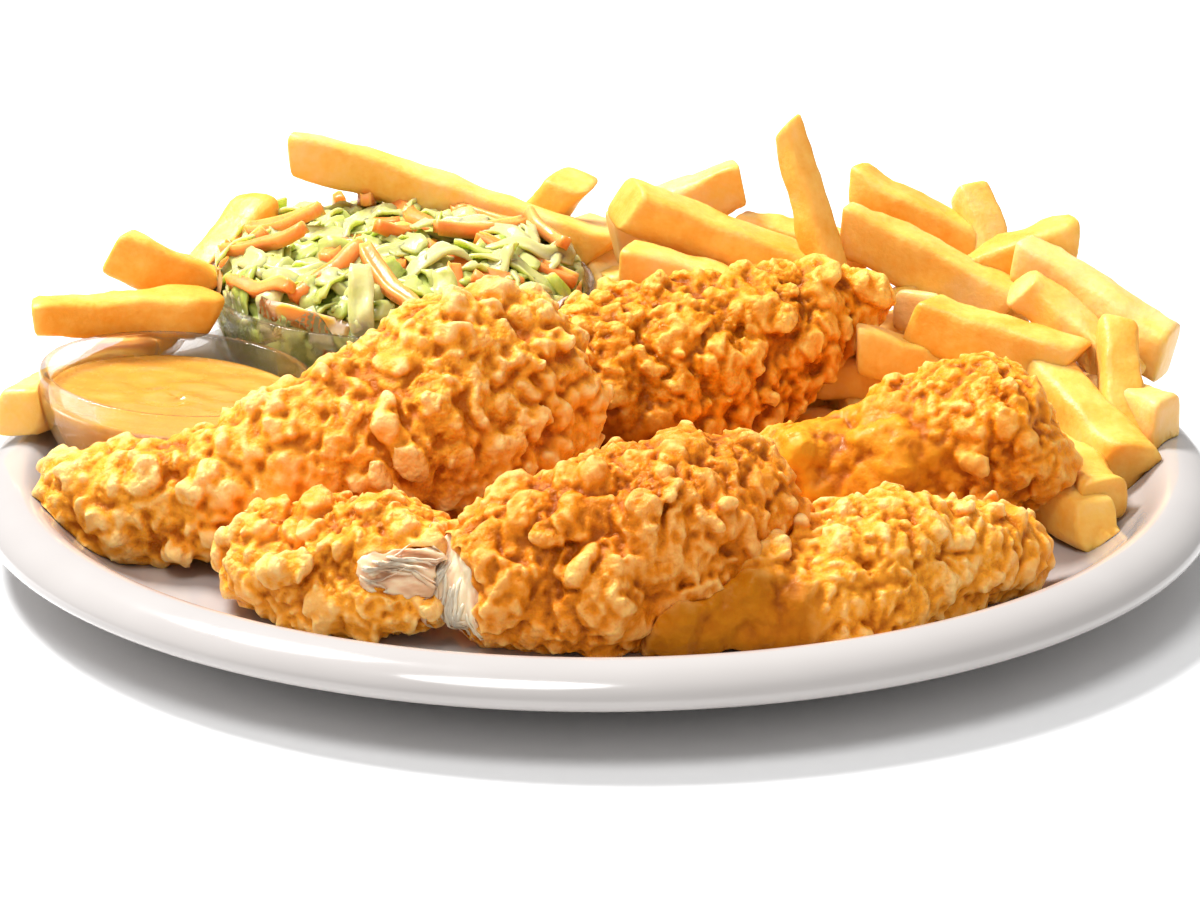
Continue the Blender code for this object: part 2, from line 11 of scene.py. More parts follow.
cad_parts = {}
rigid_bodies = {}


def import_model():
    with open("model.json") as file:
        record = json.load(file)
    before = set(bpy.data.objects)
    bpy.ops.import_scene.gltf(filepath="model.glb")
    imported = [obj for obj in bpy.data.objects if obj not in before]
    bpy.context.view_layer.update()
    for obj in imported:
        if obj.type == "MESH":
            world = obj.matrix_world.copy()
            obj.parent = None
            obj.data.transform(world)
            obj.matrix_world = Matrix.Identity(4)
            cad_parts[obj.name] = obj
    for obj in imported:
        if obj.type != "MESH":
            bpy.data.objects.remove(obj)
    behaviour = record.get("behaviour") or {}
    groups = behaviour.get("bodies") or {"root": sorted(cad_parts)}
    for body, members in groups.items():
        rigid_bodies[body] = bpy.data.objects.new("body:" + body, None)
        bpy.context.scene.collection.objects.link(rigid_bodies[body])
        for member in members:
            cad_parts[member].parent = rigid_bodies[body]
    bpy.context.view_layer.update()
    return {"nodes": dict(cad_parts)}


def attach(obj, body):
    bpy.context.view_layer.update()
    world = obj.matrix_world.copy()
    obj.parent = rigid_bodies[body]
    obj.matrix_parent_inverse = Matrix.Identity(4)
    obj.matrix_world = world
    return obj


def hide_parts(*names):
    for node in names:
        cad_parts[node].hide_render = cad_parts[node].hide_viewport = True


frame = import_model()

# Without a seed, noise_vector gives other waves in each run.
NOISE_SEED = 7
noise.seed_set(NOISE_SEED)

# Sizes are in millimetres, and MM turns them into metres.
MM = 0.001
# How far the bowls stand off the plate, and the coleslaw off its bowl.
GAP = 0.35

# The plate's outline as distances from its middle and heights: eating side, lip and underside.
PLATE_TOP = ((0, 5.0), (106, 5.0), (114, 7.2), (121, 12.2), (126, 18.0), (129.4, 20.2))
PLATE_LIP = ((134.5, 19.6), (138.2, 17.4), (140, 14.4), (138.6, 11.8))
PLATE_UNDER = ((124, 7.4), (108, 1.6), (88, 0.0), (82, 0.0), (80, 1.5), (0, 1.5))
PLATE_SIDES = 192

# Both bowls: where they stand, and the outer radius at rim and foot.
DIP_CUP = {"at": (-98, 8), "rim": 31.6, "foot": 17.0, "height": 28.0, "wall": 2.2}
SLAW_BOWL = {"at": (-49, 72.5), "rim": 48.0, "foot": 24.0, "height": 33.0, "wall": 2.4}
BOWLS = {"dip_cup": DIP_CUP, "slaw_bowl": SLAW_BOWL}
BOWL_SIDES = 112
BOWL_BULGE = 2.4
FLOOR_TO_WALL = 1.3
DIP_BELOW_RIM = 5.6
SLAW_DOME = 13.0
SLAW_SEED = 11
INTO_GLASS = 0.25
# Food that is over the rim or under the foot of a bowl by this much is left where it is.
OVER_RIM = 0.8
UNDER_FOOT = 6.0
# The heap of coleslaw under its shreds: its sides, and how far it stays below the dome.
HEAP_SIDES = 72
HEAP_BELOW_DOME = 1.5

# Where the crust is torn away: middle and half sizes of an ellipsoid.
TEARS = {
    "torn_tender_left": ((-38, -97, 22.6), (20, 13.5, 7.8)),
    "torn_tender_right": ((-48, -95, 14), (24, 26, 30)),
}

# Fries: tip, tail and thickness.
FRIES_RIGHT = (
    ((45, 64, 79), (57, 50, 36), 8.5),
    ((35, 82, 61), (4, 80, 46), 12.5),
    ((6, 62, 60), (60, 56, 41), 12.5),
    ((64, 88, 58), (110, 76, 36), 12.0),
    ((60, 64, 54), (98, 52, 36), 12.5),
    ((92, 86, 58), (99, 66, 28), 10.0),
    ((113, 62, 50), (74, 58, 35), 12.5),
    ((102, 56, 49), (134, 33, 31), 12.5),
    ((76, 38, 38), (110, 24, 32), 12.5),
    ((76, 50, 37), (84, 88, 24), 11.0),
    ((121, -8, 15), (100, 34, 31), 13.5),
    ((110, -33, 12), (88, 10, 13), 13.0),
    ((130, 3, 24), (112, 42, 22), 11.0),
    ((121, 28, 38), (123, 4, 15), 11.0),
    ((100, 44, 45), (123, 26, 28), 10.0),
    ((-74, 96, 65), (2, 98, 38), 12.0),
    ((-6, 108, 55), (-27, 117, 27), 10.0),
    ((7, 47, 50), (52, 46, 37), 11.0),
    ((33, 80, 50), (64, 72, 43), 11.0),
    ((-6, 112, 38), (42, 100, 35), 12.0),
    ((52, 44, 25), (86, 36, 22), 13.0),
    ((112, -26, 15), (108, 22, 15), 12.0),
    ((-28, 118, 22), (26, 108, 21), 13.0),
    ((-4, 106, 38), (14, 84, 18), 12.5),
    ((40, 110, 34), (2, 92, 30), 12.0),
)
FRIES_MIDDLE = (
    ((-12, -44, 12), (50, -36, 12), 12.5),
    ((24, -56, 12), (8, -2, 14), 12.0),
    ((46, -50, 9), (34, 2, 11), 12.5),
    ((-14, -26, 13), (46, -6, 14), 12.0),
    ((14, -50, 12), (46, -42, 9), 11.5),
)
FRIES_LEFT = (
    ((-116, 61, 49), (-90, 68, 35), 12.5),
    ((-132, 31, 41), (-94, 50, 37), 11.5),
    ((-132, 2, 27), (-112, 48, 24), 13.0),
    ((-86, 101, 47), (-112, 66, 24), 11.0),
)
# Each heap lies on an arc round the plate's middle, from start to end in degrees, at the radius that
# ring gives. Besides the listed fries it gets some that fill it and some that lie under the others.
HEAPS = {
    "fries_right": {
        "listed": FRIES_RIGHT, "start": 8, "end": 98, "ring": 88, "radius": 24, "height": 17,
        "fill": 6, "seed": 7, "under": 46,
    },
    "fries_left": {
        "listed": FRIES_LEFT, "start": 140, "end": 172, "ring": 118, "radius": 13, "height": 20,
        "fill": 3, "seed": 9, "under": 12,
    },
    "fries_middle": {
        "listed": FRIES_MIDDLE, "start": 255, "end": 350, "ring": 34, "radius": 8, "height": 7,
        "fill": 0, "seed": 3, "under": 6,
    },
}
FRY_BEND = 1.8
FRY_RINGS = 22
FRY_SIDES = 24
# Half lengths and thicknesses, least and greatest, of the fries that fill a heap and lie under it.
FILL_HALF = (19, 31)
FILL_THICK = (10.5, 13)
UNDER_HALF = (13, 24)
UNDER_THICK = (10.5, 12.5)
UNDER_TRIES = 2500
# How far from the middle line of a listed fry those under it stay.
LEAST_APART = 8.0
# How many places along a fry are tested against the bowls and the other fries.
FRY_TESTS = 8


# Small tools.

def put(tree, kind, inputs=None, **settings):
    """Adds a node to a tree. An input that is given a socket is linked, any other is set."""
    made = tree.nodes.new(kind)
    for name, value in settings.items():
        setattr(made, name, value)
    for key, value in (inputs or {}).items():
        if isinstance(value, bpy.types.NodeSocket):
            tree.links.new(value, made.inputs[key])
        else:
            made.inputs[key].default_value = value
    return made


def maths(tree, operation, first, second=0.0):
    """One step of reckoning with numbers."""
    return put(tree, "ShaderNodeMath", {0: first, 1: second}, operation=operation).outputs[0]


def vectors(tree, operation, first, second=(0.0, 0.0, 0.0)):
    """One step of reckoning with vectors. A distance, length or dot product comes out as a number."""
    key = "Scale" if operation == "SCALE" else 1
    made = put(tree, "ShaderNodeVectorMath", {0: first, key: second}, operation=operation)
    return made.outputs[1 if operation in ("DISTANCE", "LENGTH", "DOT_PRODUCT") else 0]


def drawn_value(tree, low, high, seed):
    """A random number for each point, or a random vector where the limits are vectors."""
    if isinstance(low, tuple):
        inputs = {0: low, 1: high, "Seed": seed}
        return put(tree, "FunctionNodeRandomValue", inputs, data_type="FLOAT_VECTOR").outputs[0]
    inputs = {2: low, 3: high, "Seed": seed}
    return put(tree, "FunctionNodeRandomValue", inputs, data_type="FLOAT").outputs[1]


def turned_at_random(tree, points, lean):
    """The rotation of each scattered point, with a lean of its own on top."""
    lean = put(tree, "FunctionNodeEulerToRotation", {0: lean}).outputs[0]
    inputs = {0: points.outputs["Rotation"], 1: lean}
    return put(tree, "FunctionNodeRotateRotation", inputs, rotation_space="LOCAL").outputs[0]


def moved(tree, shape, offset):
    """The shape with each of its points moved by an offset."""
    return put(tree, "GeometryNodeSetPosition", {"Geometry": shape, "Offset": offset}).outputs[0]


def blurred(tree, value, times):
    """A value of the mesh, evened out with that of the points beside it again and again."""
    inputs = {"Value": value, "Iterations": times}
    return put(tree, "GeometryNodeBlurAttribute", inputs, data_type="FLOAT_VECTOR").outputs[0]


def stored(tree, shape, name, value, domain="POINT"):
    """The shape with a number noted on it, which its material reads."""
    inputs = {"Geometry": shape, "Name": name, "Value": value}
    made = put(tree, "GeometryNodeStoreNamedAttribute", inputs, data_type="FLOAT", domain=domain)
    return made.outputs[0]


def mesh_object(name, verts, faces, finish=None, smooth=True):
    """A new object from vertices in millimetres."""
    mesh = bpy.data.meshes.new(name)
    mesh.from_pydata([Vector(v) * MM for v in verts], [], faces)
    mesh.update()
    made = bpy.data.objects.new(name, mesh)
    bpy.context.scene.collection.objects.link(made)
    if smooth:
        mesh.shade_smooth()
    if finish:
        mesh.materials.append(finish)
    return made


def apply_modifiers(obj):
    """Turns an object and all its modifiers into a plain mesh."""
    bpy.context.view_layer.update()
    graph = bpy.context.evaluated_depsgraph_get()
    old = obj.data
    mesh = bpy.data.meshes.new_from_object(obj.evaluated_get(graph))
    obj.modifiers.clear()
    obj.data = mesh
    bpy.data.meshes.remove(old)
    mesh.name = obj.name
    return obj


def run_tree(obj, tree, values):
    """Runs a node tree over an object with values for its named inputs, and keeps the result as a mesh."""
    step = obj.modifiers.new(tree.name, "NODES")
    step.node_group = tree
    sockets = [item for item in tree.interface.items_tree if item.item_type == "SOCKET"]
    names = {socket.name: socket.identifier for socket in sockets if socket.in_out == "INPUT"}
    for name, value in values.items():
        step[names[name]] = value
    return apply_modifiers(obj)


def new_tree(name, inputs):
    """A geometry tree with its sockets and its input and output nodes."""
    tree = bpy.data.node_groups.new(name, "GeometryNodeTree")
    tree.interface.new_socket("Geometry", in_out="INPUT", socket_type="NodeSocketGeometry")
    for label, kind in inputs.items():
        tree.interface.new_socket(label, in_out="INPUT", socket_type=kind)
    tree.interface.new_socket("Geometry", in_out="OUTPUT", socket_type="NodeSocketGeometry")
    entry = tree.nodes.new("NodeGroupInput")
    exit_node = tree.nodes.new("NodeGroupOutput")
    return tree, entry, exit_node


def plate_height(radius):
    """Height of the plate's eating side at a distance from its middle."""
    radii, heights = zip(*(PLATE_TOP + PLATE_LIP[:3]))
    return np.interp(radius, radii, heights)


def seat(bowl):
    """Where a bowl stands: its outer foot edge rides up the plate's curved wall, so it tips inwards."""
    x, y = bowl["at"]
    reach = math.hypot(x, y)
    outer = float(plate_height(reach + bowl["foot"])) + GAP
    inner = float(plate_height(max(0.0, reach - bowl["foot"]))) + GAP
    tip = math.atan2(outer - inner, 2 * bowl["foot"])
    axis = Vector((y, -x, 0)).normalized()
    return Matrix.Translation((x, y, (outer + inner) / 2)) @ Matrix.Rotation(tip, 4, axis)


def bowl_radius(bowl, share, inset=0.0):
    """Radius of a bowl's outside at a share of its height, less an inset."""
    return bowl["foot"] + (bowl["rim"] - bowl["foot"]) * (1 - (1 - share) ** BOWL_BULGE) - inset


def keep_clear(points, above_plate=0.2, off_glass=0.45):
    """Moves points that are in the plate or in a bowl out of it. Points are an array in millimetres."""
    for bowl in BOWLS.values():
        place = np.array(seat(bowl))
        local = (points - place[:3, 3]) @ place[:3, :3]
        away = np.hypot(local[:, 0], local[:, 1])
        share = np.clip(local[:, 2] / bowl["height"], 0, 1)
        limit = bowl_radius(bowl, share) + off_glass
        inside = (away < limit) & (local[:, 2] < bowl["height"] + OVER_RIM) & (local[:, 2] > -UNDER_FOOT)
        grow = np.where(inside, limit / np.maximum(away, 0.01), 1.0)
        local[:, 0] *= grow
        local[:, 1] *= grow
        points = np.where(inside[:, None], local @ place[:3, :3].T + place[:3, 3], points)
    floor = plate_height(np.hypot(points[:, 0], points[:, 1])) + above_plate
    points[:, 2] = np.maximum(points[:, 2], floor)
    return points


def read_points(mesh):
    """The points of a mesh, as an array in millimetres."""
    flat = np.empty(len(mesh.vertices) * 3, np.float32)
    mesh.vertices.foreach_get("co", flat)
    return flat.reshape(-1, 3).astype(float) / MM


def write_points(mesh, points):
    mesh.vertices.foreach_set("co", (points * MM).astype(np.float32).ravel())
    mesh.update()


def settle(obj):
    """Lifts a finished piece of food out of the plate and the bowls."""
    write_points(obj.data, keep_clear(read_points(obj.data)))
    return obj


def store_values(mesh, label, values):
    """Notes a number for each point of a mesh, which its material reads."""
    mesh.attributes.new(label, "FLOAT", "POINT").data.foreach_set("value", values)


def hand_in(obj, node):
    """Gives a finished piece its body and hides the node that it stands for."""
    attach(obj, "root")
    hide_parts(node)
    return obj


# Materials.

def new_material(name, values):
    """A material whose shader starts with the given values."""
    made = bpy.data.materials.new(name)
    made.use_nodes = True
    tree = made.node_tree
    shader = tree.nodes["Principled BSDF"]
    for key, value in values.items():
        shader.inputs[key].default_value = value
    return made, tree, shader


def pattern(tree, scale, detail=2.0, roughness=0.5, stretch=None):
    """A noise pattern over the piece itself: scale is in waves to the metre."""
    place = put(tree, "ShaderNodeTexCoord").outputs["Object"]
    if stretch:
        place = put(tree, "ShaderNodeMapping", {"Vector": place, "Scale": stretch}).outputs["Vector"]
    inputs = {"Vector": place, "Scale": scale, "Detail": detail, "Roughness": roughness}
    return put(tree, "ShaderNodeTexNoise", inputs).outputs["Fac"]


def drift(tree, scale, detail, low, high, roughness=0.5):
    """A noise pattern that drifts between two values."""
    return span(tree, pattern(tree, scale, detail, roughness), 0.3, 0.7, low, high)


def attribute(tree, name):
    """What the mesh notes for the colours of each spot."""
    return put(tree, "ShaderNodeAttribute", attribute_name=name).outputs["Fac"]


def ramp(tree, value, stops):
    """Colours along a value: stops are (position, colour)."""
    made = put(tree, "ShaderNodeValToRGB", {"Fac": value})
    elements = made.color_ramp.elements
    while len(elements) < len(stops):
        elements.new(0.5)
    for element, (where, colour) in zip(elements, stops):
        element.position = where
        element.color = (*colour, 1.0)
    return made.outputs["Color"]


def blend_colour(tree, share, first, second):
    """A colour that a share moves from the first to the second."""
    made = put(tree, "ShaderNodeMix", {"Factor": share}, data_type="RGBA")
    for key, value in ((6, first), (7, second)):
        if isinstance(value, bpy.types.NodeSocket):
            tree.links.new(value, made.inputs[key])
        else:
            made.inputs[key].default_value = (*value, 1.0)
    return made.outputs[2]


def tinted(colour, shares):
    """A colour with each channel changed by a share of its own."""
    return [min(channel * share, 1.0) for channel, share in zip(colour, shares)]


def span(tree, value, low, high, to_low=0.0, to_high=1.0):
    """Carries a value from one range over to another, and clips it there."""
    inputs = {"Value": value, "From Min": low, "From Max": high, "To Min": to_low, "To Max": to_high}
    return put(tree, "ShaderNodeMapRange", inputs).outputs["Result"]


def bump(tree, shader, height, distance, strength):
    made = put(tree, "ShaderNodeBump", {"Height": height, "Distance": distance, "Strength": strength})
    tree.links.new(made.outputs["Normal"], shader.inputs["Normal"])


def glaze_material():
    made, tree, shader = new_material("white_glaze", {
        "Roughness": 0.14, "IOR": 1.5, "Coat Weight": 0.4, "Coat Roughness": 0.05,
    })
    tint = pattern(tree, 22, 3)
    colour = ramp(tree, tint, ((0.3, (0.42, 0.39, 0.375)), (0.7, (0.46, 0.432, 0.415))))
    tree.links.new(colour, shader.inputs["Base Color"])
    tree.links.new(drift(tree, 60, 3, 0.1, 0.2), shader.inputs["Roughness"])
    bump(tree, shader, pattern(tree, 35, 1), 0.0004, 0.25)
    return made


def glass_material():
    made, tree, shader = new_material("clear_glass", {
        "Base Color": (0.98, 0.99, 0.985, 1), "Roughness": 0.02, "IOR": 1.4,
        "Transmission Weight": 1.0, "Alpha": 0.5,
    })
    tree.links.new(drift(tree, 90, 2, 0.01, 0.05), shader.inputs["Roughness"])
    bump(tree, shader, pattern(tree, 60, 1), 0.0003, 0.15)
    return made


def sauce_material():
    made, tree, shader = new_material("yellow_dip", {
        "Roughness": 0.2, "IOR": 1.45, "Subsurface Weight": 0.25, "Subsurface Radius": (1.0, 0.6, 0.15),
        "Subsurface Scale": 0.002, "Coat Weight": 0.3, "Coat Roughness": 0.1,
    })
    swirl = pattern(tree, 70, 3, 0.55, (1, 2.6, 1))
    colour = ramp(tree, swirl, (
        (0.3, (0.58, 0.245, 0.03)), (0.55, (0.63, 0.295, 0.042)), (0.75, (0.69, 0.36, 0.07)),
    ))
    tree.links.new(colour, shader.inputs["Base Color"])
    tree.links.new(drift(tree, 300, 2, 0.14, 0.32), shader.inputs["Roughness"])
    bump(tree, shader, pattern(tree, 160, 3, 0.5, (1, 2, 1)), 0.0006, 0.4)
    return made


CRUST_ROUGHNESS = 0.34


def crust_material(name, crevice_shade, body, tip, patch, shine):
    """Fried crust: golden on its body, with painted shade in its crevices, painted highlight on its tips,
    and darker and paler streaks in its smooth patch that follow noise and the same painted shade and
    highlight.
    """
    made, tree, shader = new_material(name, {
        "Roughness": CRUST_ROUGHNESS, "IOR": 1.42, "Subsurface Weight": 0.25,
        "Subsurface Radius": (1.0, 0.45, 0.06), "Subsurface Scale": 0.002,
        "Specular IOR Level": shine, "Specular Tint": (1.0, 0.8, 0.5, 1),
    })
    # relief and depth measure how far each spot stands proud: low values paint shade into the crevices, high
    # values paint highlight onto the tips.
    relief = maths(tree, "MULTIPLY", attribute(tree, "relief"), 0.26)
    depth = maths(tree, "MULTIPLY", attribute(tree, "depth"), 0.34)
    cloud = drift(tree, 60, 3, -0.17, 0.17)
    speck = span(tree, pattern(tree, 420, 4, 0.65), 0.25, 0.75, -0.12, 0.12)
    value = maths(tree, "ADD", maths(tree, "ADD", relief, depth), 0.46)
    value = maths(tree, "ADD", value, maths(tree, "ADD", cloud, speck))
    low = [b * 0.5 + c * 0.5 for b, c in zip(body, crevice_shade)]
    colour = ramp(tree, value, ((0.1, crevice_shade), (0.32, low), (0.54, body), (1.0, tip)))
    plain = attribute(tree, "plain")
    # The patch's darker streaks are partly noise and partly painted shade in its hollows; its paler streaks
    # are partly noise and partly painted highlight on its tops.
    dark_streaks_and_shade = tinted(patch, (0.55, 0.36, 0.3))
    pale = tinted(patch, (1.14, 1.35, 1.8))
    streaks = maths(tree, "ADD", value, drift(tree, 150, 3, -0.2, 0.2, 0.6))
    streaks = ramp(tree, streaks, ((0.25, dark_streaks_and_shade), (0.52, patch), (0.85, pale)))
    colour = blend_colour(tree, plain, colour, streaks)
    toasted = span(tree, pattern(tree, 26, 2), 0.52, 0.72, 0.0, 0.5)
    brown = tinted(body, (0.78, 0.58, 0.4))
    colour = blend_colour(tree, toasted, colour, blend_colour(tree, 0.6, colour, brown))
    tree.links.new(colour, shader.inputs["Base Color"])
    dull = span(tree, pattern(tree, 240, 3), 0.35, 0.7, CRUST_ROUGHNESS - 0.14, CRUST_ROUGHNESS + 0.2)
    dull = maths(tree, "ADD", dull, maths(tree, "MULTIPLY", plain, 0.08))
    tree.links.new(dull, shader.inputs["Roughness"])
    place = put(tree, "ShaderNodeTexCoord").outputs["Object"]
    grains = put(tree, "ShaderNodeTexVoronoi", {"Vector": place, "Scale": 640.0}, feature="F1")
    grainy = span(tree, pattern(tree, 75, 2), 0.42, 0.58, 0.15, 1.0)
    grains = maths(tree, "MULTIPLY", grains.outputs["Distance"], grainy)
    grit = maths(tree, "SUBTRACT", maths(tree, "MULTIPLY", pattern(tree, 1500, 4, 0.6), 0.5), grains)
    grit = maths(tree, "MULTIPLY", grit, span(tree, plain, 0.0, 1.0, 1.0, 0.3))
    bump(tree, shader, grit, 0.0009, 0.8)
    return made


def meat_material():
    """Cooked chicken: pale fibres, darker in the grooves between them."""
    made, tree, shader = new_material("chicken_meat", {
        "Roughness": 0.36, "IOR": 1.4, "Subsurface Weight": 0.5, "Subsurface Radius": (1.0, 0.6, 0.4),
        "Subsurface Scale": 0.003, "Specular IOR Level": 0.35,
    })
    value = maths(tree, "ADD", attribute(tree, "strand"), drift(tree, 120, 3, -0.2, 0.2))
    colour = ramp(tree, value, (
        (0.1, (0.58, 0.29, 0.14)), (0.45, (0.82, 0.5, 0.29)), (0.9, (0.95, 0.76, 0.5)),
    ))
    tree.links.new(colour, shader.inputs["Base Color"])
    tree.links.new(drift(tree, 400, 2, 0.26, 0.5), shader.inputs["Roughness"])
    bump(tree, shader, pattern(tree, 900, 3), 0.0002, 0.4)
    return made


def potato_material():
    """Fried potato: soft yellow sides, browner along the cut edges, each fry with a tone of its own."""
    made, tree, shader = new_material("fried_potato", {
        "Roughness": 0.42, "IOR": 1.42, "Subsurface Weight": 0.35, "Subsurface Radius": (1.0, 0.6, 0.16),
        "Subsurface Scale": 0.004, "Specular IOR Level": 0.4,
    })
    cloud = drift(tree, 60, 4, -0.3, 0.3, 0.6)
    speck = drift(tree, 500, 3, -0.08, 0.08, 0.6)
    value = maths(tree, "ADD", maths(tree, "ADD", attribute(tree, "tone"), cloud), speck)
    flesh = ramp(tree, value, (
        (0.12, (0.83, 0.36, 0.035)), (0.45, (0.89, 0.51, 0.1)), (0.9, (0.91, 0.6, 0.25)),
    ))
    uneven = span(tree, pattern(tree, 130, 3), 0.35, 0.65, 0.15, 0.8)
    fried_edge = maths(tree, "MULTIPLY", attribute(tree, "edge"), uneven)
    colour = blend_colour(tree, fried_edge, flesh, (0.8, 0.36, 0.05))
    tree.links.new(colour, shader.inputs["Base Color"])
    tree.links.new(drift(tree, 200, 3, 0.3, 0.56), shader.inputs["Roughness"])
    dents = maths(tree, "MULTIPLY", pattern(tree, 180, 2), 1.5)
    bump(tree, shader, maths(tree, "ADD", pattern(tree, 700, 4, 0.6), dents), 0.0004, 0.5)
    return made


def leaf_material(name, stops):
    """Shredded vegetable: each shred has a tone of its own, and all have cloudy patches."""
    made, tree, shader = new_material(name, {
        "Roughness": 0.35, "IOR": 1.4, "Subsurface Weight": 0.6, "Subsurface Radius": (0.8, 1.0, 0.3),
        "Subsurface Scale": 0.004, "Specular IOR Level": 0.4,
    })
    value = maths(tree, "ADD", attribute(tree, "tone"), drift(tree, 130, 3, -0.22, 0.22))
    tree.links.new(ramp(tree, value, stops), shader.inputs["Base Color"])
    tree.links.new(drift(tree, 300, 2, 0.22, 0.45), shader.inputs["Roughness"])
    bump(tree, shader, pattern(tree, 600, 3), 0.0003, 0.5)
    return made


GLAZE = glaze_material()
GLASS = glass_material()
SAUCE = sauce_material()
MEAT = meat_material()
POTATO = potato_material()
CABBAGE = leaf_material("cabbage", (
    (0.12, (0.31, 0.42, 0.055)), (0.36, (0.43, 0.5, 0.1)),
    (0.62, (0.53, 0.55, 0.17)), (0.9, (0.62, 0.59, 0.25)),
))
CARROT = leaf_material("carrot", ((0.2, (0.8, 0.2, 0.035)), (0.8, (0.9, 0.33, 0.08))))


# Plate and glass.

def rounded(points, rounds):
    """Cuts the corners of an open outline again and again, which rounds it."""
    for _ in range(rounds):
        cut = [points[0]]
        for (a, b), (c, d) in zip(points, points[1:]):
            cut.append((a * 0.75 + c * 0.25, b * 0.75 + d * 0.25))
            cut.append((a * 0.25 + c * 0.75, b * 0.25 + d * 0.75))
        points = cut + [points[-1]]
    return points


def turned(outline, sides, place=Matrix.Identity(4)):
    """Vertices and faces of a solid of revolution. The outline starts and ends on the axis."""
    rings = outline[1:-1]
    verts = [Vector((0, 0, outline[0][1])), Vector((0, 0, outline[-1][1]))]
    for radius, height in rings:
        for side in range(sides):
            angle = math.tau * side / sides
            verts.append(Vector((radius * math.cos(angle), radius * math.sin(angle), height)))
    faces = []
    for ring in range(len(rings) - 1):
        for side in range(sides):
            a = 2 + ring * sides + side
            b = 2 + ring * sides + (side + 1) % sides
            faces.append((a, a + sides, b + sides, b))
    last = 2 + (len(rings) - 1) * sides
    for side in range(sides):
        after = (side + 1) % sides
        faces.append((0, 2 + side, 2 + after))
        faces.append((1, last + after, last + side))
    return [place @ v for v in verts], faces


def make_plate():
    """The plate, turned from its rounded outline."""
    outline = rounded(list(PLATE_TOP + PLATE_LIP + PLATE_UNDER), 3)
    verts, faces = turned(outline, PLATE_SIDES)
    return hand_in(mesh_object("dinner_plate", verts, faces, GLAZE), "plate")


def make_bowl(name, bowl):
    """A glass bowl: up its inner side, over a rounded bead at the rim, and down to a hollow foot."""
    height, wall = bowl["height"], bowl["wall"]
    up_inside = (0.14, 0.2, 0.26, 0.38, 0.5, 0.66, 0.82, 0.93)
    down_outside = (0.9, 0.82, 0.66, 0.5, 0.38, 0.26, 0.18, 0.1, 0.04, 0)
    inner = [(bowl_radius(bowl, share, wall), share * height) for share in up_inside]
    outer = [(bowl_radius(bowl, share), share * height) for share in down_outside]
    bead = [(bowl["rim"] - wall * 0.95, height - wall * 0.2), (bowl["rim"] - wall * 0.55, height)]
    bead += [(bowl["rim"] - 0.1, height - 0.1), (bowl["rim"], height - wall * 0.6)]
    outline = [(0, wall * FLOOR_TO_WALL), (inner[0][0] * 0.8, wall * FLOOR_TO_WALL)] + inner + bead + outer
    outline += [(bowl["foot"] - 2, 0), (bowl["foot"] - 3.2, 0.8), (0, 0.8)]
    verts, faces = turned(rounded(outline, 2), BOWL_SIDES, seat(bowl))
    return hand_in(mesh_object(name + "_glass", verts, faces, GLASS), name)


def make_dip():
    """The sauce, with the soft ridges that the spoon left and a rim that climbs the glass a little."""
    bowl = DIP_CUP
    level = bowl["height"] - DIP_BELOW_RIM
    edge = bowl_radius(bowl, level / bowl["height"], bowl["wall"]) + INTO_GLASS
    rings, sides = 44, 112
    verts = [Vector((0, 0, level))]
    faces = []
    for ring in range(1, rings + 1):
        away = edge * ring / rings
        for side in range(sides):
            angle = math.tau * side / sides
            x, y = away * math.cos(angle), away * math.sin(angle)
            swirl = math.sin(away * 0.55 + angle * 2) * 0.28 * (1 - (away / edge) ** 2)
            lump = noise.noise(Vector((x * 0.09, y * 0.16, 3.1))) * 0.5 * (1 - (away / edge) ** 4)
            climb = 0.5 * max(0.0, (away - edge + 2.5) / 2.5) ** 2
            verts.append(Vector((x, y, level + swirl + lump + climb - 0.4)))
    for side in range(sides):
        faces.append((0, 1 + side, 1 + (side + 1) % sides))
    shares = (0.7, 0.6, 0.5, 0.4, 0.3, 0.22, 0.16)
    for share in shares:
        radius = bowl_radius(bowl, share, bowl["wall"]) + INTO_GLASS
        height = share * bowl["height"]
        for side in range(sides):
            angle = math.tau * side / sides
            verts.append(Vector((radius * math.cos(angle), radius * math.sin(angle), height)))
    for ring in range(rings + len(shares) - 1):
        for side in range(sides):
            a = 1 + ring * sides + side
            b = 1 + ring * sides + (side + 1) % sides
            faces.append((a, a + sides, b + sides, b))
    last = 1 + (rings + len(shares) - 1) * sides
    verts.append(Vector((0, 0, bowl["wall"] * FLOOR_TO_WALL - INTO_GLASS)))
    for side in range(sides):
        faces.append((len(verts) - 1, last + (side + 1) % sides, last + side))
    place = seat(bowl)
    return hand_in(mesh_object("yellow_dip", [place @ v for v in verts], faces, SAUCE), "dip")


# Fries.

def heap_point(heap, share, across, lift=1.0):
    """A point of a heap: its share of the way along, how far across from -1 to 1, and how high up."""
    angle = math.radians(heap["start"] + (heap["end"] - heap["start"]) * share)
    ring = heap["ring"] + across * heap["radius"]
    height = lift * heap["height"] * math.sqrt(max(0.0, 1 - across**2))
    return Vector((ring * math.cos(angle), ring * math.sin(angle), float(plate_height(ring)) + height))


def stays_clear(tip, tail, thick):
    """Whether a fry keeps clear of both bowls and inside the plate's edge."""
    for step in range(FRY_TESTS + 1):
        point = Vector(tip).lerp(Vector(tail), step / FRY_TESTS)
        if math.hypot(point.x, point.y) > PLATE_LIP[2][0] - thick / 2:
            return False
        for bowl in BOWLS.values():
            away = (point.xy - Vector(bowl["at"])).length
            if point.z < bowl["height"] + 10 + thick / 2 and away < bowl["rim"] + thick / 2:
                return False
    return True


def near_listed(one, heap, least):
    """Whether a fry would break through the side of one that is listed."""
    for step in range(FRY_TESTS + 1):
        point = one[0].lerp(one[1], step / FRY_TESTS)
        for tip, tail, _ in heap["listed"]:
            tip, tail = Vector(tip), Vector(tail)
            along = max(0.0, min(1.0, (point - tip).dot(tail - tip) / (tail - tip).length_squared))
            if (point - tip.lerp(tail, along)).length < least:
                return True
    return False


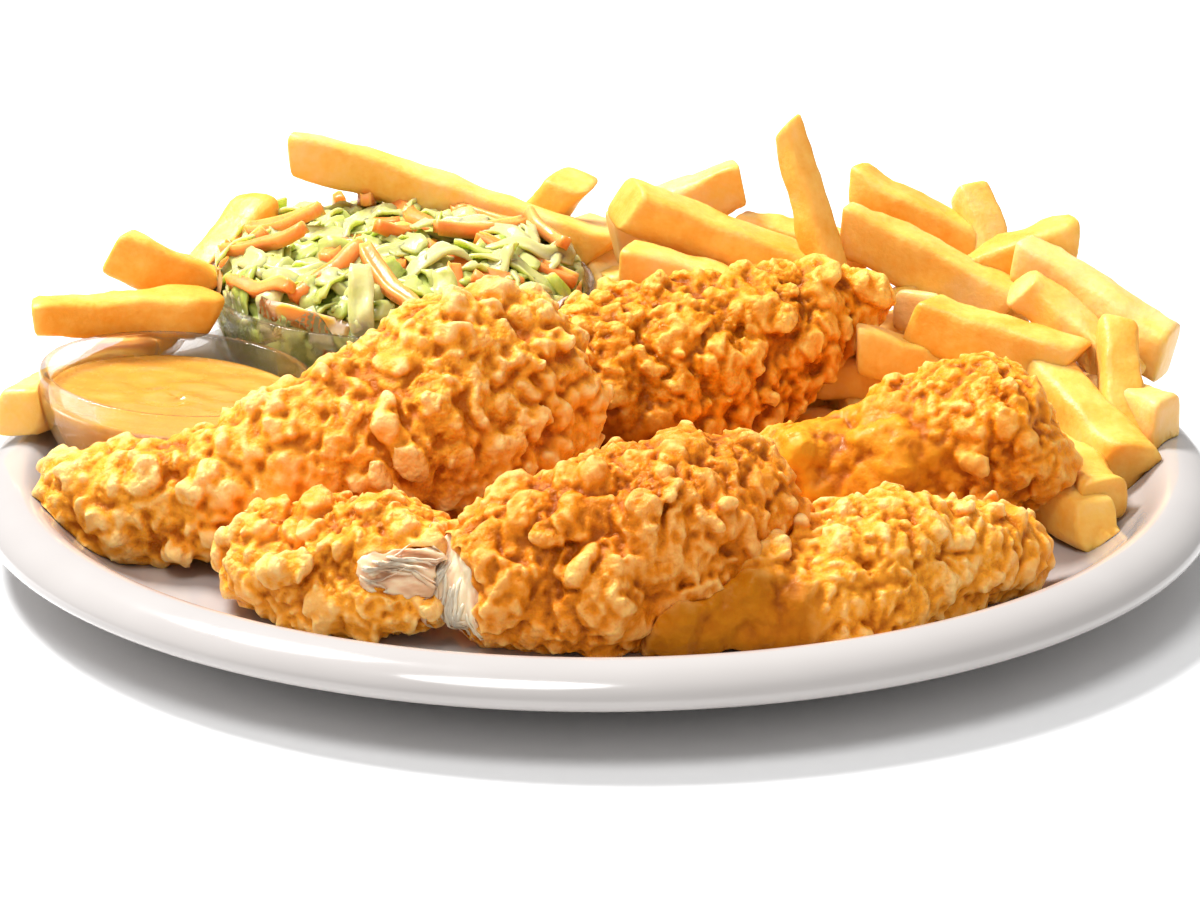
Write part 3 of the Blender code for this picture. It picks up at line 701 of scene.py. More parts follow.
def filling_fries(heap):
    """The fries that fill a heap, lying over its middle at all angles."""
    draw = random.Random(heap["seed"])
    made = []
    for number in range(heap["fill"]):
        share = (number + draw.random()) / heap["fill"]
        middle = heap_point(heap, share, draw.uniform(-0.5, 0.8)) + Vector((0, 0, 4))
        heading = draw.uniform(0, math.tau)
        half = draw.uniform(*FILL_HALF)
        slope = draw.uniform(-0.35, 0.35)
        ahead = Vector((math.cos(heading), math.sin(heading), slope)) * half
        made.append((middle + ahead, middle - ahead, draw.uniform(*FILL_THICK)))
    return [one for one in made if stays_clear(*one)]


def under_fries(heap):
    """Fries low in the heap, which close the gaps between those on top."""
    draw = random.Random(heap["seed"] + 40)
    made = []
    tries = 0
    while len(made) < heap["under"] and tries < UNDER_TRIES:
        tries += 1
        middle = heap_point(heap, draw.random(), draw.uniform(-0.9, 0.9), draw.uniform(0.2, 0.75))
        heading = draw.uniform(0, math.tau)
        slope = draw.uniform(-0.2, 0.2)
        ahead = Vector((math.cos(heading), math.sin(heading), slope)) * draw.uniform(*UNDER_HALF)
        one = (middle + ahead, middle - ahead, draw.uniform(*UNDER_THICK))
        if stays_clear(*one) and not near_listed(one, heap, LEAST_APART):
            made.append(one)
    return made


def fry_shape(tip, tail, thick, bend, draw):
    """One cut potato stick: squarish, a little sunk on its sides, bowed, with ends cut at a slant."""
    tip, tail = Vector(tip), Vector(tail)
    length = (tail - tip).length
    slants = [Vector((draw.uniform(-0.55, 0.55), draw.uniform(-0.55, 0.55))) for _ in range(2)]
    narrow = draw.uniform(-0.16, 0.16)
    broad = draw.uniform(0.9, 1.12)
    square = draw.uniform(0.42, 0.56)
    arch = draw.uniform(-1.6, 1.6)
    seed = Vector((draw.uniform(0, 90), draw.uniform(0, 90), 0))
    stations = [-1 + 2 * step / (FRY_RINGS - 1) for step in range(FRY_RINGS)]
    rings = [(share, 1.0) for share in stations]
    rings[0:1] = [(-1, 0.55), (-1, 0.86), (-1 + 0.9 / length, 0.965)]
    rings[-1:] = [(1 - 0.9 / length, 0.965), (1, 0.86), (1, 0.55)]
    turn = (tip - tail).to_track_quat("Z", "Y").to_matrix().to_4x4()
    place = Matrix.Translation((tip + tail) / 2) @ turn
    verts, edges = [], []
    for share, size in rings:
        end = 1 if share > 0 else 0
        for side in range(FRY_SIDES):
            angle = math.tau * side / FRY_SIDES
            c, s = math.cos(angle), math.sin(angle)
            x = math.copysign(abs(c) ** square, c)
            y = math.copysign(abs(s) ** square, s)
            corner = (abs(x * y)) ** 3
            half = thick / 2 * (1 + narrow * share) * (0.95 + 0.05 * corner)
            local = Vector((x * half * size * broad, y * half * size / broad, share * length / 2))
            cut = slants[end].dot(local.xy) * max(0.0, abs(share) * 2 - 1) ** 2
            local.z += cut
            wave = noise.noise_vector(local * 0.1 + seed) * 1.1
            fine = noise.noise(local * 0.4 + seed) * 0.35
            local += Vector((wave.x, wave.y, 0)) + Vector((x, y, 0)) * fine
            local.x += bend * (1 - share**2)
            local.y += arch * (0.5 - share**2) * share
            verts.append(place @ local)
            edges.append(max(corner * 0.75, (1 - size) * 3 if size > 0.8 else 0.25))
    faces = []
    count = len(rings)
    for ring in range(count - 1):
        for side in range(FRY_SIDES):
            a = ring * FRY_SIDES + side
            b = ring * FRY_SIDES + (side + 1) % FRY_SIDES
            faces.append((a, b, b + FRY_SIDES, a + FRY_SIDES))
    verts.append(sum(verts[:FRY_SIDES], Vector()) / FRY_SIDES)
    verts.append(sum(verts[(count - 1) * FRY_SIDES:count * FRY_SIDES], Vector()) / FRY_SIDES)
    edges += [0.2, 0.2]
    for side in range(FRY_SIDES):
        after = (side + 1) % FRY_SIDES
        faces.append((len(verts) - 2, after, side))
        faces.append((len(verts) - 1, (count - 1) * FRY_SIDES + side, (count - 1) * FRY_SIDES + after))
    return verts, faces, edges


def make_fries(name, heap):
    """All the fries of one heap, as one piece."""
    bends = random.Random(heap["seed"] + 1)
    draw = random.Random(heap["seed"] + 2)
    verts, faces, edges, tones = [], [], [], []
    for tip, tail, thick in list(heap["listed"]) + filling_fries(heap) + under_fries(heap):
        bend = bends.uniform(-FRY_BEND, FRY_BEND)
        more_verts, more_faces, more_edges = fry_shape(tip, tail, thick, bend, draw)
        first = len(verts)
        verts += more_verts
        faces += [[first + corner for corner in face] for face in more_faces]
        edges += more_edges
        tones += [draw.uniform(0.25, 0.75)] * len(more_verts)
    made = mesh_object(name + "_sticks", verts, faces, POTATO)
    store_values(made.data, "edge", edges)
    store_values(made.data, "tone", tones)
    return hand_in(settle(made), name)


# Tenders.

def crag_layer(tree, base, radius, spacing, share, seed, tilt, low, high, fineness):
    """Scatters one size of batter blob over a base and joins it on: flattened balls, tilted at random."""
    points = put(tree, "GeometryNodeDistributePointsOnFaces", {
        "Mesh": base, "Distance Min": spacing, "Density Max": 4e6, "Density Factor": share, "Seed": seed,
    }, distribute_method="POISSON")
    lean = drawn_value(tree, (-tilt, -tilt, 0.0), (tilt, tilt, math.tau), seed)
    turn = turned_at_random(tree, points, lean)
    chance = drawn_value(tree, 0.0, 1.0, seed)
    whole = span(tree, maths(tree, "POWER", chance, 1.6), 0.0, 1.0, 0.6, 1.3)
    whole = maths(tree, "MULTIPLY", whole, radius)
    size = vectors(tree, "SCALE", drawn_value(tree, low, high, seed), whole)
    ball = put(tree, "GeometryNodeMeshIcoSphere", {"Radius": 1.0, "Subdivisions": fineness}).outputs["Mesh"]
    placed = put(tree, "GeometryNodeInstanceOnPoints", {
        "Points": points.outputs["Points"], "Instance": ball, "Rotation": turn, "Scale": size,
    })
    blobs = put(tree, "GeometryNodeRealizeInstances", {"Geometry": placed.outputs[0]}).outputs[0]
    joined = put(tree, "GeometryNodeJoinGeometry")
    tree.links.new(blobs, joined.inputs[0])
    tree.links.new(base, joined.inputs[0])
    return joined.outputs[0]


def pattern_at(tree, place, scale, detail=2.0):
    """A noise pattern at a given place of the mesh: scale is in waves to the metre."""
    return put(tree, "ShaderNodeTexNoise", {"Vector": place, "Scale": scale, "Detail": detail}).outputs[0]


def wander(tree, place, scale, reach):
    """A vector that wanders smoothly over the surface, half the reach to each side."""
    wave = put(tree, "ShaderNodeTexNoise", {"Vector": place, "Scale": scale, "Detail": 1.0}).outputs["Color"]
    return vectors(tree, "SCALE", vectors(tree, "SUBTRACT", wave, (0.5, 0.5, 0.5)), reach)


# The batter: kind, scale of the patches it comes in, tilt, least and greatest proportions, the span of
# the patch noise over which it gets dense, and how fine its balls are. Then two warps: scale and reach.
BATTER = (
    ("Lobe", 48, 0.4, (0.8, 0.65, 0.25), (1.6, 1.1, 0.42), (0.4, 0.5), 3),
    ("Flake", 62, 0.5, (0.8, 0.22, 0.45), (1.7, 0.36, 0.85), (0.46, 0.58), 3),
    ("Knob", 90, 0.5, (0.75, 0.7, 0.7), (1.5, 1.1, 1.1), (0.5, 0.56), 2),
)
BATTER_WARPS = ((140, 3.6), (400, 2.0))


def crags_tree():
    """Lobes, flakes and knobs of batter over a tender, fewer in its smooth patch and none in its tear."""
    kinds = {
        "Lobe radius": "NodeSocketFloat", "Lobe spacing": "NodeSocketFloat",
        "Flake radius": "NodeSocketFloat", "Flake spacing": "NodeSocketFloat",
        "Knob radius": "NodeSocketFloat", "Knob spacing": "NodeSocketFloat",
        "Cover": "NodeSocketFloat", "Seed": "NodeSocketInt", "Offset": "NodeSocketVector",
        "Smooth middle": "NodeSocketVector", "Smooth reach": "NodeSocketFloat",
        "Tear middle": "NodeSocketVector", "Tear size": "NodeSocketVector", "Finish": "NodeSocketMaterial",
    }
    tree, entry, exit_node = new_tree("crust_crags", kinds)
    get = entry.outputs
    place = put(tree, "GeometryNodeInputPosition").outputs[0]
    spot = vectors(tree, "ADD", place, get["Offset"])
    apart = vectors(tree, "DISTANCE", place, get["Smooth middle"])
    uneven = span(tree, pattern_at(tree, spot, 90), 0.3, 0.7, -0.25, 0.25)
    rough = maths(tree, "ADD", maths(tree, "DIVIDE", apart, get["Smooth reach"]), uneven)
    rough = span(tree, rough, 0.92, 1.02)
    off = vectors(tree, "SUBTRACT", place, get["Tear middle"])
    off = vectors(tree, "LENGTH", vectors(tree, "DIVIDE", off, get["Tear size"]))
    rough = maths(tree, "MULTIPLY", rough, span(tree, off, 1.14, 1.24))
    shape = get["Geometry"]
    for kind, scale, tilt, low, high, reach, fineness in BATTER:
        cloud = pattern_at(tree, spot, scale)
        share = maths(tree, "MULTIPLY", span(tree, maths(tree, "ADD", cloud, get["Cover"]), *reach), rough)
        shape = crag_layer(tree, shape, get[kind + " radius"], get[kind + " spacing"], share,
                           get["Seed"], tilt, low, high, fineness)
    for scale, reach in BATTER_WARPS:
        shape = moved(tree, shape, wander(tree, spot, scale, reach * MM))
    shape = put(tree, "GeometryNodeSetMaterial", {"Geometry": shape, "Material": get["Finish"]}).outputs[0]
    tree.links.new(shape, exit_node.inputs[0])
    return tree


def lumps(tree, place, scale, edge, seed, merged=0.15):
    """Lumps packed side by side with a crisp crease between most of them: 0 in the crease and 1 on top."""
    start = vectors(tree, "ADD", place, (seed * 0.01, 0.0, 0.0))
    place = start
    for finer, reach in ((0.6, 1.6), (2.2, 0.5)):
        place = vectors(tree, "ADD", place, wander(tree, start, scale * finer, reach / scale))
    cells = {"Vector": place, "Scale": scale}
    crease = put(tree, "ShaderNodeTexVoronoi", cells, feature="DISTANCE_TO_EDGE").outputs["Distance"]
    dome = put(tree, "ShaderNodeTexVoronoi", cells, feature="F1")
    crease = maths(tree, "SUBTRACT", 1.0, maths(tree, "POWER", span(tree, crease, 0.0, edge), 0.6))
    kept = span(tree, pattern_at(tree, start, scale * 0.5), 0.4, 0.56, merged, 1.0)
    crease = maths(tree, "SUBTRACT", 1.0, maths(tree, "MULTIPLY", crease, kept))
    high = span(tree, dome.outputs["Distance"], 0.0, 0.9, 1.0, 0.0)
    tall = put(tree, "ShaderNodeSeparateXYZ", {0: dome.outputs["Color"]}).outputs[0]
    shape = maths(tree, "ADD", maths(tree, "MULTIPLY", crease, 0.55), maths(tree, "MULTIPLY", high, 0.45))
    return maths(tree, "MULTIPLY", shape, span(tree, tall, 0.0, 1.0, 0.5, 1.3))


# How much of its relief a tender keeps in the middle of its smooth patch.
SMOOTH_RELIEF = 0.42


def roughness_at(tree, place, get):
    """1 on craggy crust, and down to SMOOTH_RELIEF in a tender's smooth patch."""
    apart = vectors(tree, "DISTANCE", place, get["Smooth middle"])
    wave = span(tree, pattern_at(tree, place, 90), 0.3, 0.7, -0.2, 0.2)
    rough = maths(tree, "ADD", maths(tree, "DIVIDE", apart, get["Smooth reach"]), wave)
    return span(tree, rough, 0.68, 1.2, SMOOTH_RELIEF, 1.0)


def skin_tree():
    """Covers the fused crust with folds, lumps, ruffles and crumbs."""
    kinds = {
        "Fold": "NodeSocketFloat", "Lump": "NodeSocketFloat",
        "Ruffle": "NodeSocketFloat", "Crumb": "NodeSocketFloat",
        "Stretch": "NodeSocketVector", "Offset": "NodeSocketVector",
        "Smooth middle": "NodeSocketVector", "Smooth reach": "NodeSocketFloat",
    }
    tree, entry, exit_node = new_tree("crust_skin", kinds)
    get = entry.outputs
    place = put(tree, "GeometryNodeInputPosition").outputs[0]
    normal = put(tree, "GeometryNodeInputNormal").outputs[0]
    even = vectors(tree, "NORMALIZE", blurred(tree, normal, 45))
    rough = roughness_at(tree, place, get)
    spot = vectors(tree, "ADD", place, get["Offset"])
    drawn = vectors(tree, "MULTIPLY", spot, get["Stretch"])
    patchy = span(tree, pattern_at(tree, spot, 80), 0.43, 0.57, 0.1, 1.2)
    crumbly = span(tree, pattern_at(tree, drawn, 110), 0.45, 0.56, 0.1, 1.2)
    fold = maths(tree, "MULTIPLY", lumps(tree, drawn, 96, 0.2, 0.0), get["Fold"])
    lump = lumps(tree, spot, 340, 0.32, 3.0, 0.3)
    lump = maths(tree, "MULTIPLY", lump, maths(tree, "MULTIPLY", get["Lump"], patchy))
    crumb = lumps(tree, spot, 580, 0.4, 7.0, 0.4)
    crumb = maths(tree, "MULTIPLY", crumb, maths(tree, "MULTIPLY", get["Crumb"], crumbly))
    ruffle = maths(tree, "ABSOLUTE", maths(tree, "SUBTRACT", pattern_at(tree, drawn, 210, 3.0), 0.5))
    ruffle = maths(tree, "MULTIPLY", span(tree, ruffle, 0.0, 0.16, 1.0, 0.0), get["Ruffle"])
    fine = maths(tree, "MULTIPLY", pattern_at(tree, spot, 620, 2.0), 0.7 * MM)
    height = maths(tree, "ADD", maths(tree, "ADD", fold, lump), maths(tree, "ADD", crumb, ruffle))
    height = maths(tree, "MULTIPLY", maths(tree, "ADD", height, fine), rough)
    height = maths(tree, "ADD", height, span(tree, rough, SMOOTH_RELIEF, 1.0, 1.2 * MM, 0.0))
    shape = moved(tree, get["Geometry"], vectors(tree, "SCALE", even, height))
    tree.links.new(shape, exit_node.inputs[0])
    return tree


def tone_tree():
    """Softens the crust a little and notes how far each spot stands proud, which its colours turn into
    painted shade in hollows and painted highlight on tops.
    """
    kinds = {
        "Soften": "NodeSocketInt", "Smooth middle": "NodeSocketVector", "Smooth reach": "NodeSocketFloat",
        "Finish": "NodeSocketMaterial",
    }
    tree, entry, exit_node = new_tree("crust_tone", kinds)
    get = entry.outputs
    place = put(tree, "GeometryNodeInputPosition").outputs[0]
    normal = put(tree, "GeometryNodeInputNormal").outputs[0]
    inputs = {"Geometry": get["Geometry"], "Position": blurred(tree, place, get["Soften"])}
    shape = put(tree, "GeometryNodeSetPosition", inputs).outputs[0]
    plain = span(tree, roughness_at(tree, place, get), SMOOTH_RELIEF, 1.0, 1.0, 0.0)
    shape = stored(tree, shape, "plain", plain)
    for label, times, unit in (("relief", 10, 0.35), ("depth", 160, 1.6)):
        proud = vectors(tree, "SUBTRACT", place, blurred(tree, place, times))
        proud = vectors(tree, "DOT_PRODUCT", proud, normal)
        shape = stored(tree, shape, label, maths(tree, "DIVIDE", proud, unit * MM))
    shape = put(tree, "GeometryNodeSetMaterial", {"Geometry": shape, "Material": get["Finish"]}).outputs[0]
    tree.links.new(shape, exit_node.inputs[0])
    return tree


CRAGS = crags_tree()
SKIN = skin_tree()
TONE = tone_tree()

# The crusts' colours: painted shade in the crevices, the body's own colour, and painted highlight on the
# tips.
GOLD = ((0.34, 0.07, 0.001), (0.83, 0.255, 0.009), (1.0, 0.56, 0.16))
PALE_GOLD = ((0.46, 0.11, 0.003), (0.93, 0.36, 0.024), (1.0, 0.62, 0.22))
AMBER = ((0.38, 0.08, 0.001), (0.92, 0.305, 0.011), (1.0, 0.58, 0.15))
DEEP_GOLD = ((0.32, 0.072, 0.001), (0.84, 0.275, 0.008), (0.99, 0.59, 0.13))

# Each crust: radius and spacing of its lobes, flakes and knobs of batter, how much of it they cover, how
# its folds are stretched, its colours, the colour, middle and reach of its smooth patch, and its voxels.
NO_PATCH = ((0, 0, -90), 1)
TENDERS = {
    "torn_tender_right": {
        "lobe": (3.9, 6.0), "flake": (3.6, 6.2), "knob": (1.2, 2.4), "cover": 0.02,
        "stretch": (1.35, 0.9, 0.8), "colours": GOLD, "shine": 0.25, "patch": (0.8, 0.3, 0.02),
        "smooth": NO_PATCH, "seed": 31, "voxel": 0.46,
    },
    "torn_tender_left": {
        "lobe": (3.0, 5.4), "flake": (2.8, 5.8), "knob": (1.0, 2.2), "cover": 0.04,
        "stretch": (1.2, 1.0, 1.0), "colours": PALE_GOLD, "shine": 0.25, "patch": (0.8, 0.3, 0.02),
        "smooth": NO_PATCH, "seed": 21, "voxel": 0.42,
    },
    # tender_front's patch colour is its smooth crust darkened with painted shadow, where the torn tender
    # beside it shades it.
    "tender_front": {
        "lobe": (3.2, 5.6), "flake": (2.9, 6.0), "knob": (1.1, 2.3), "cover": 0.03,
        "stretch": (1.2, 1.0, 1.0), "colours": PALE_GOLD, "shine": 0.2, "patch": (0.42, 0.12, 0.002),
        "smooth": ((28, -92, 6), 21), "seed": 23, "voxel": 0.45,
    },
    "tender_long": {
        "lobe": (3.6, 6.2), "flake": (3.0, 6.2), "knob": (1.15, 2.2), "cover": 0.04,
        "stretch": (1.1, 1.1, 1.1), "colours": PALE_GOLD, "shine": 0.25, "patch": (0.88, 0.38, 0.03),
        "smooth": ((-62, -48, 16), 12), "seed": 44, "voxel": 0.54,
    },
    "tender_right": {
        "lobe": (3.3, 5.6), "flake": (3.0, 6.0), "knob": (1.1, 2.3), "cover": 0.0,
        "stretch": (1.2, 1.0, 1.0), "colours": AMBER, "shine": 0.25, "patch": (0.64, 0.225, 0.008),
        "smooth": ((56, -30, 22), 25), "seed": 55, "voxel": 0.46,
    },
    # tender_back's patch colour is a painted shadow: a dark brown where its low side lies in shade between
    # the other tenders.
    "tender_back": {
        "lobe": (3.6, 5.8), "flake": (3.3, 6.2), "knob": (1.2, 2.5), "cover": 0.0,
        "stretch": (1.2, 1.0, 0.9), "colours": DEEP_GOLD, "shine": 0.25, "patch": (0.32, 0.08, 0.001),
        "smooth": ((4, -10, 10), 26), "seed": 66, "voxel": 0.48,
    },
}
# Heights of the relief on every crust.
CRUST_RELIEF = {"Fold": 1.9, "Lump": 0.9, "Ruffle": 0.7, "Crumb": 0.9}
BODY_VOXEL = 1.2
BODY_SHRINK = 2.2
NO_TEAR = ((0, 0, -900), (1, 1, 1))


def solid_copy(name, voxel, shrink):
    """A copy of a CAD node with its corners joined, evenly meshed, softened and a little shrunk."""
    shape = bmesh.new()
    shape.from_mesh(frame["nodes"][name].data)
    bmesh.ops.remove_doubles(shape, verts=shape.verts, dist=1e-6)
    mesh = bpy.data.meshes.new(name + "_body")
    shape.to_mesh(mesh)
    shape.free()
    mesh.materials.clear()
    made = bpy.data.objects.new(name + "_body", mesh)
    bpy.context.scene.collection.objects.link(made)
    even = made.modifiers.new("even", "REMESH")
    even.mode = "VOXEL"
    even.voxel_size = voxel * MM
    soften = made.modifiers.new("soften", "SMOOTH")
    soften.factor = 0.5
    soften.iterations = 4
    inwards = made.modifiers.new("inwards", "DISPLACE")
    inwards.strength = -shrink * MM
    inwards.mid_level = 0.0
    return apply_modifiers(made)


def in_tear(points, name):
    """How far points are from a tear's middle, with 1 at its ragged edge, and where each point's way out
    from the middle meets that edge.
    """
    middle, sizes = (np.array(one, float) for one in TEARS[name])
    away = (points - middle) / sizes
    reach = np.maximum(np.linalg.norm(away, axis=1), 0.05)
    edge = np.empty(len(points))
    for index, way in enumerate(away / reach[:, None]):
        way = Vector(way)
        edge[index] = 1 + 0.14 * noise.noise(way * 2.6) + 0.08 * noise.noise(way * 8)
    return reach / edge, away / reach[:, None] * edge[:, None] * sizes + middle


def dent(obj, name):
    """Pushes a tender's crust back out of its tear."""
    points = read_points(obj.data)
    share, edge = in_tear(points, name)
    write_points(obj.data, np.where((share < 1)[:, None], edge, points))


def fuse(obj, voxel):
    """Melts everything in a piece into one even skin."""
    step = obj.modifiers.new("fuse", "REMESH")
    step.mode = "VOXEL"
    step.voxel_size = voxel * MM * 1
    apply_modifiers(obj)
    obj.data.shade_smooth()


def in_metres(place):
    return tuple(c * MM for c in place)


def make_crust(name):
    """A tender's crust: batter on its body, fused, given its relief, fused again and toned."""
    spec = TENDERS[name]
    made = solid_copy(name, BODY_VOXEL, BODY_SHRINK)
    if name in TEARS:
        dent(made, name)
    middle, sizes = TEARS.get(name, NO_TEAR)
    finish = crust_material(name + "_crust", *spec["colours"], spec["patch"], spec["shine"])
    offset = (spec["seed"] * 0.037, spec["seed"] * 0.011, 0.0)
    patch_at, patch_reach = spec["smooth"]
    patch = {"Smooth middle": in_metres(patch_at), "Smooth reach": patch_reach * MM}
    batter = {}
    for kind, *_ in BATTER:
        radius, spacing = spec[kind.lower()]
        batter[kind + " radius"] = radius * MM
        batter[kind + " spacing"] = spacing * MM
    run_tree(made, CRAGS, {
        "Cover": spec["cover"], "Seed": spec["seed"], "Offset": offset, "Finish": finish,
        "Tear middle": in_metres(middle), "Tear size": in_metres(sizes), **batter, **patch,
    })
    fuse(made, spec["voxel"])
    relief = {kind: height * MM for kind, height in CRUST_RELIEF.items()}
    run_tree(made, SKIN, {"Stretch": spec["stretch"], "Offset": offset, **relief, **patch})
    fuse(made, spec["voxel"])
    if name in TEARS:
        dent(made, name)
    run_tree(made, TONE, {"Soften": 1, "Finish": finish, **patch})
    made.name = name + "_crust"
    settle(made)
    made.data.shade_smooth()
    return hand_in(made, name)


# The meat that shows in each tear: which way its fibres run, how pale it is, and its loose strands:
# how many, how long and from where to where they start.
FIBRES = {
    "torn_tender_left": {
        "way": (1.0, -0.12, -0.22), "pale": 0.05, "count": 18, "length": (6, 15),
        "from": ((-53, -96, 14), (-40, -86, 27)),
    },
    "torn_tender_right": {
        "way": (-0.35, -0.25, -1.0), "pale": 0.45, "count": 60, "length": (6, 13),
        "from": ((-36, -99, 10), (-22, -72, 36)),
    },
}
MEAT_VOXEL = 0.55
MEAT_BELOW = 2.7
# How fast the fibres change along themselves and across.
FIBRE_ALONG = 0.07
FIBRE_ACROSS = 0.62


def make_meat(name):
    """The meat under the crust. In the tear it lies bare, in long fibres with a few loose strands."""
    spec = FIBRES[name]
    made = solid_copy(name, MEAT_VOXEL, 0.0)
    body = made.data
    points = read_points(body)
    normals = np.array([v.normal for v in body.vertices])
    share, _ = in_tear(points, name)
    covered = np.clip((share - 0.98) / 0.12, 0, 1)
    ahead = Vector(spec["way"]).normalized()
    side = ahead.orthogonal().normalized()
    turn = Matrix((ahead * FIBRE_ALONG, side * FIBRE_ACROSS, ahead.cross(side) * FIBRE_ACROSS))
    ridges, strands = [], []
    for point in points:
        place = turn @ Vector(point)
        wide = noise.noise(place * 0.55)
        thin = noise.noise(place * 1.9)
        ridges.append(wide * 0.7 + thin * 0.3)
        # The strand value follows the same noise as the ridges, so the colour is darker where the fibres
        # dip.
        strands.append(0.42 + spec["pale"] + wide * 0.5 + thin * 0.45)
    height = np.array(ridges) - 0.2 - covered * MEAT_BELOW
    points = points + normals * height[:, None]
    write_points(body, points)
    verts = [tuple(point) for point in points]
    faces = [tuple(face.vertices) for face in body.polygons]
    bare = BVHTree.FromPolygons([Vector(p) for p in verts], faces)
    draw = random.Random(len(verts) % 97 + 5)
    low, high = spec["from"]
    laid = 0
    for _ in range(spec["count"] * 6):
        if laid == spec["count"]:
            break
        start = Vector([draw.uniform(a, b) for a, b in zip(low, high)])
        place, normal, _, _ = bare.find_nearest(start)
        if in_tear(np.array([place]), name)[0][0] > 0.93:
            continue
        laid += 1
        strand(verts, faces, strands, bare, place, ahead, draw, draw.uniform(*spec["length"]), spec["pale"])
    obj = mesh_object(name + "_meat", verts, faces, MEAT)
    store_values(obj.data, "strand", strands)
    bpy.data.objects.remove(made, do_unlink=True)
    return hand_in(settle(obj), name)


def strand(verts, faces, strands, bare, start, ahead, draw, length, pale):
    """One loose fibre: it follows the meat, and its far end may stand off it."""
    steps, sides = 9, 5
    thick = draw.uniform(0.2, 0.7)
    lift = draw.choice((0.1, 0.2, 0.3, 1.2))
    way = (ahead + Vector([draw.uniform(-0.3, 0.3) for _ in range(3)])).normalized()
    first = len(verts)
    point = start.copy()
    for step in range(steps + 1):
        along = step / steps
        place, normal, _, _ = bare.find_nearest(point)
        middle = place + normal * (thick * 0.4 + lift * along**2)
        across = way.cross(normal).normalized()
        size = thick * (1 - 0.75 * along**3) * (0.5 if step == 0 else 1)
        for side in range(sides):
            angle = math.tau * side / sides
            out = across * math.cos(angle) + normal * math.sin(angle) * 0.35
            verts.append(tuple(middle + out * size))
            strands.append(0.7 + pale * 0.7)
        bend = Vector([draw.uniform(-0.2, 0.2) for _ in range(3)])
        way = (way + bend - normal * (way + bend).dot(normal)).normalized()
        point = place + way * length / steps
    for step in range(steps):
        for side in range(sides):
            a = first + step * sides + side
            b = first + step * sides + (side + 1) % sides
            faces.append((a, b, b + sides, a + sides))
    faces.append(tuple(first + side for side in range(sides))[::-1])
    faces.append(tuple(first + steps * sides + side for side in range(sides)))


# Coleslaw.

def dome_height(bowl, away):
    """Height of the coleslaw's dome at a distance from the bowl's middle."""
    inside = bowl_radius(bowl, 0.95, bowl["wall"] + GAP)
    return bowl["height"] - 2.5 + SLAW_DOME * (1 - min(1.0, away / inside) ** 4)


def slaw_heap():
    """The middle of the coleslaw, as the strips lie on it: it fills the bowl and domes over it."""
    bowl = SLAW_BOWL
    inset = bowl["wall"] + 0.6
    reach = bowl_radius(bowl, 0.95, bowl["wall"] + GAP)
    outline = [(0, dome_height(bowl, 0))]
    across = [reach * share for share in (0.2, 0.4, 0.55, 0.7, 0.8, 0.88)]
    outline += [(away, dome_height(bowl, away) - HEAP_BELOW_DOME) for away in across]
    down = (0.86, 0.7, 0.5, 0.35, 0.22, 0.15)
    outline += [(bowl_radius(bowl, share, inset), share * bowl["height"]) for share in down]
    outline.append((0, bowl["wall"] * FLOOR_TO_WALL))
    verts, faces = turned(rounded(outline, 1), HEAP_SIDES, seat(bowl))
    lumpy = [v + noise.noise_vector(v * 0.12) * 1.2 for v in verts]
    return mesh_object("slaw_heap", lumpy, faces)


def strip_shape(name, length, width, thick, curl, twist, waves, seed, finish):
    """One shred: a thin band, curled, twisted and crinkled."""
    steps, across = 14, 4
    layers = []
    for level in (1, -1):
        for step in range(steps + 1):
            share = 2 * step / steps - 1
            for lane in range(across + 1):
                side = 2 * lane / across - 1
                taper = 1 - 0.25 * abs(share) ** 4
                crinkle = noise.noise(Vector((share * waves, side * 1.1, seed))) * width * 0.34
                y = side * width / 2 * taper
                z = crinkle + level * thick / 2
                angle = twist * share
                y, z = y * math.cos(angle) - z * math.sin(angle), y * math.sin(angle) + z * math.cos(angle)
                bow = curl * share
                x = share * length / 2
                if abs(curl) > 0.01:
                    reach = length / 2 / curl
                    x = math.sin(bow) * reach
                    z += (math.cos(bow) - 1) * reach
                y += noise.noise(Vector((share * 1.3, 7.7, seed))) * length * 0.12
                layers.append(Vector((x, y, z)))
    lanes = across + 1
    count = (steps + 1) * lanes
    faces = []
    for step in range(steps):
        for lane in range(across):
            a = step * lanes + lane
            faces.append((a, a + lanes, a + lanes + 1, a + 1))
            faces.append((count + a, count + a + 1, count + a + lanes + 1, count + a + lanes))
        for lane, flip in ((0, False), (across, True)):
            a = step * lanes + lane
            quad = (a, count + a, count + a + lanes, a + lanes)
            faces.append(quad[::-1] if flip else quad)
    for lane in range(across):
        for step, flip in ((0, True), (steps, False)):
            a = step * lanes + lane
            quad = (a, count + a, count + a + 1, a + 1)
            faces.append(quad[::-1] if flip else quad)
    made = mesh_object(name, layers, faces, finish)
    shape = bmesh.new()
    shape.from_mesh(made.data)
    bmesh.ops.recalc_face_normals(shape, faces=shape.faces)
    shape.to_mesh(made.data)
    shape.free()
    return made


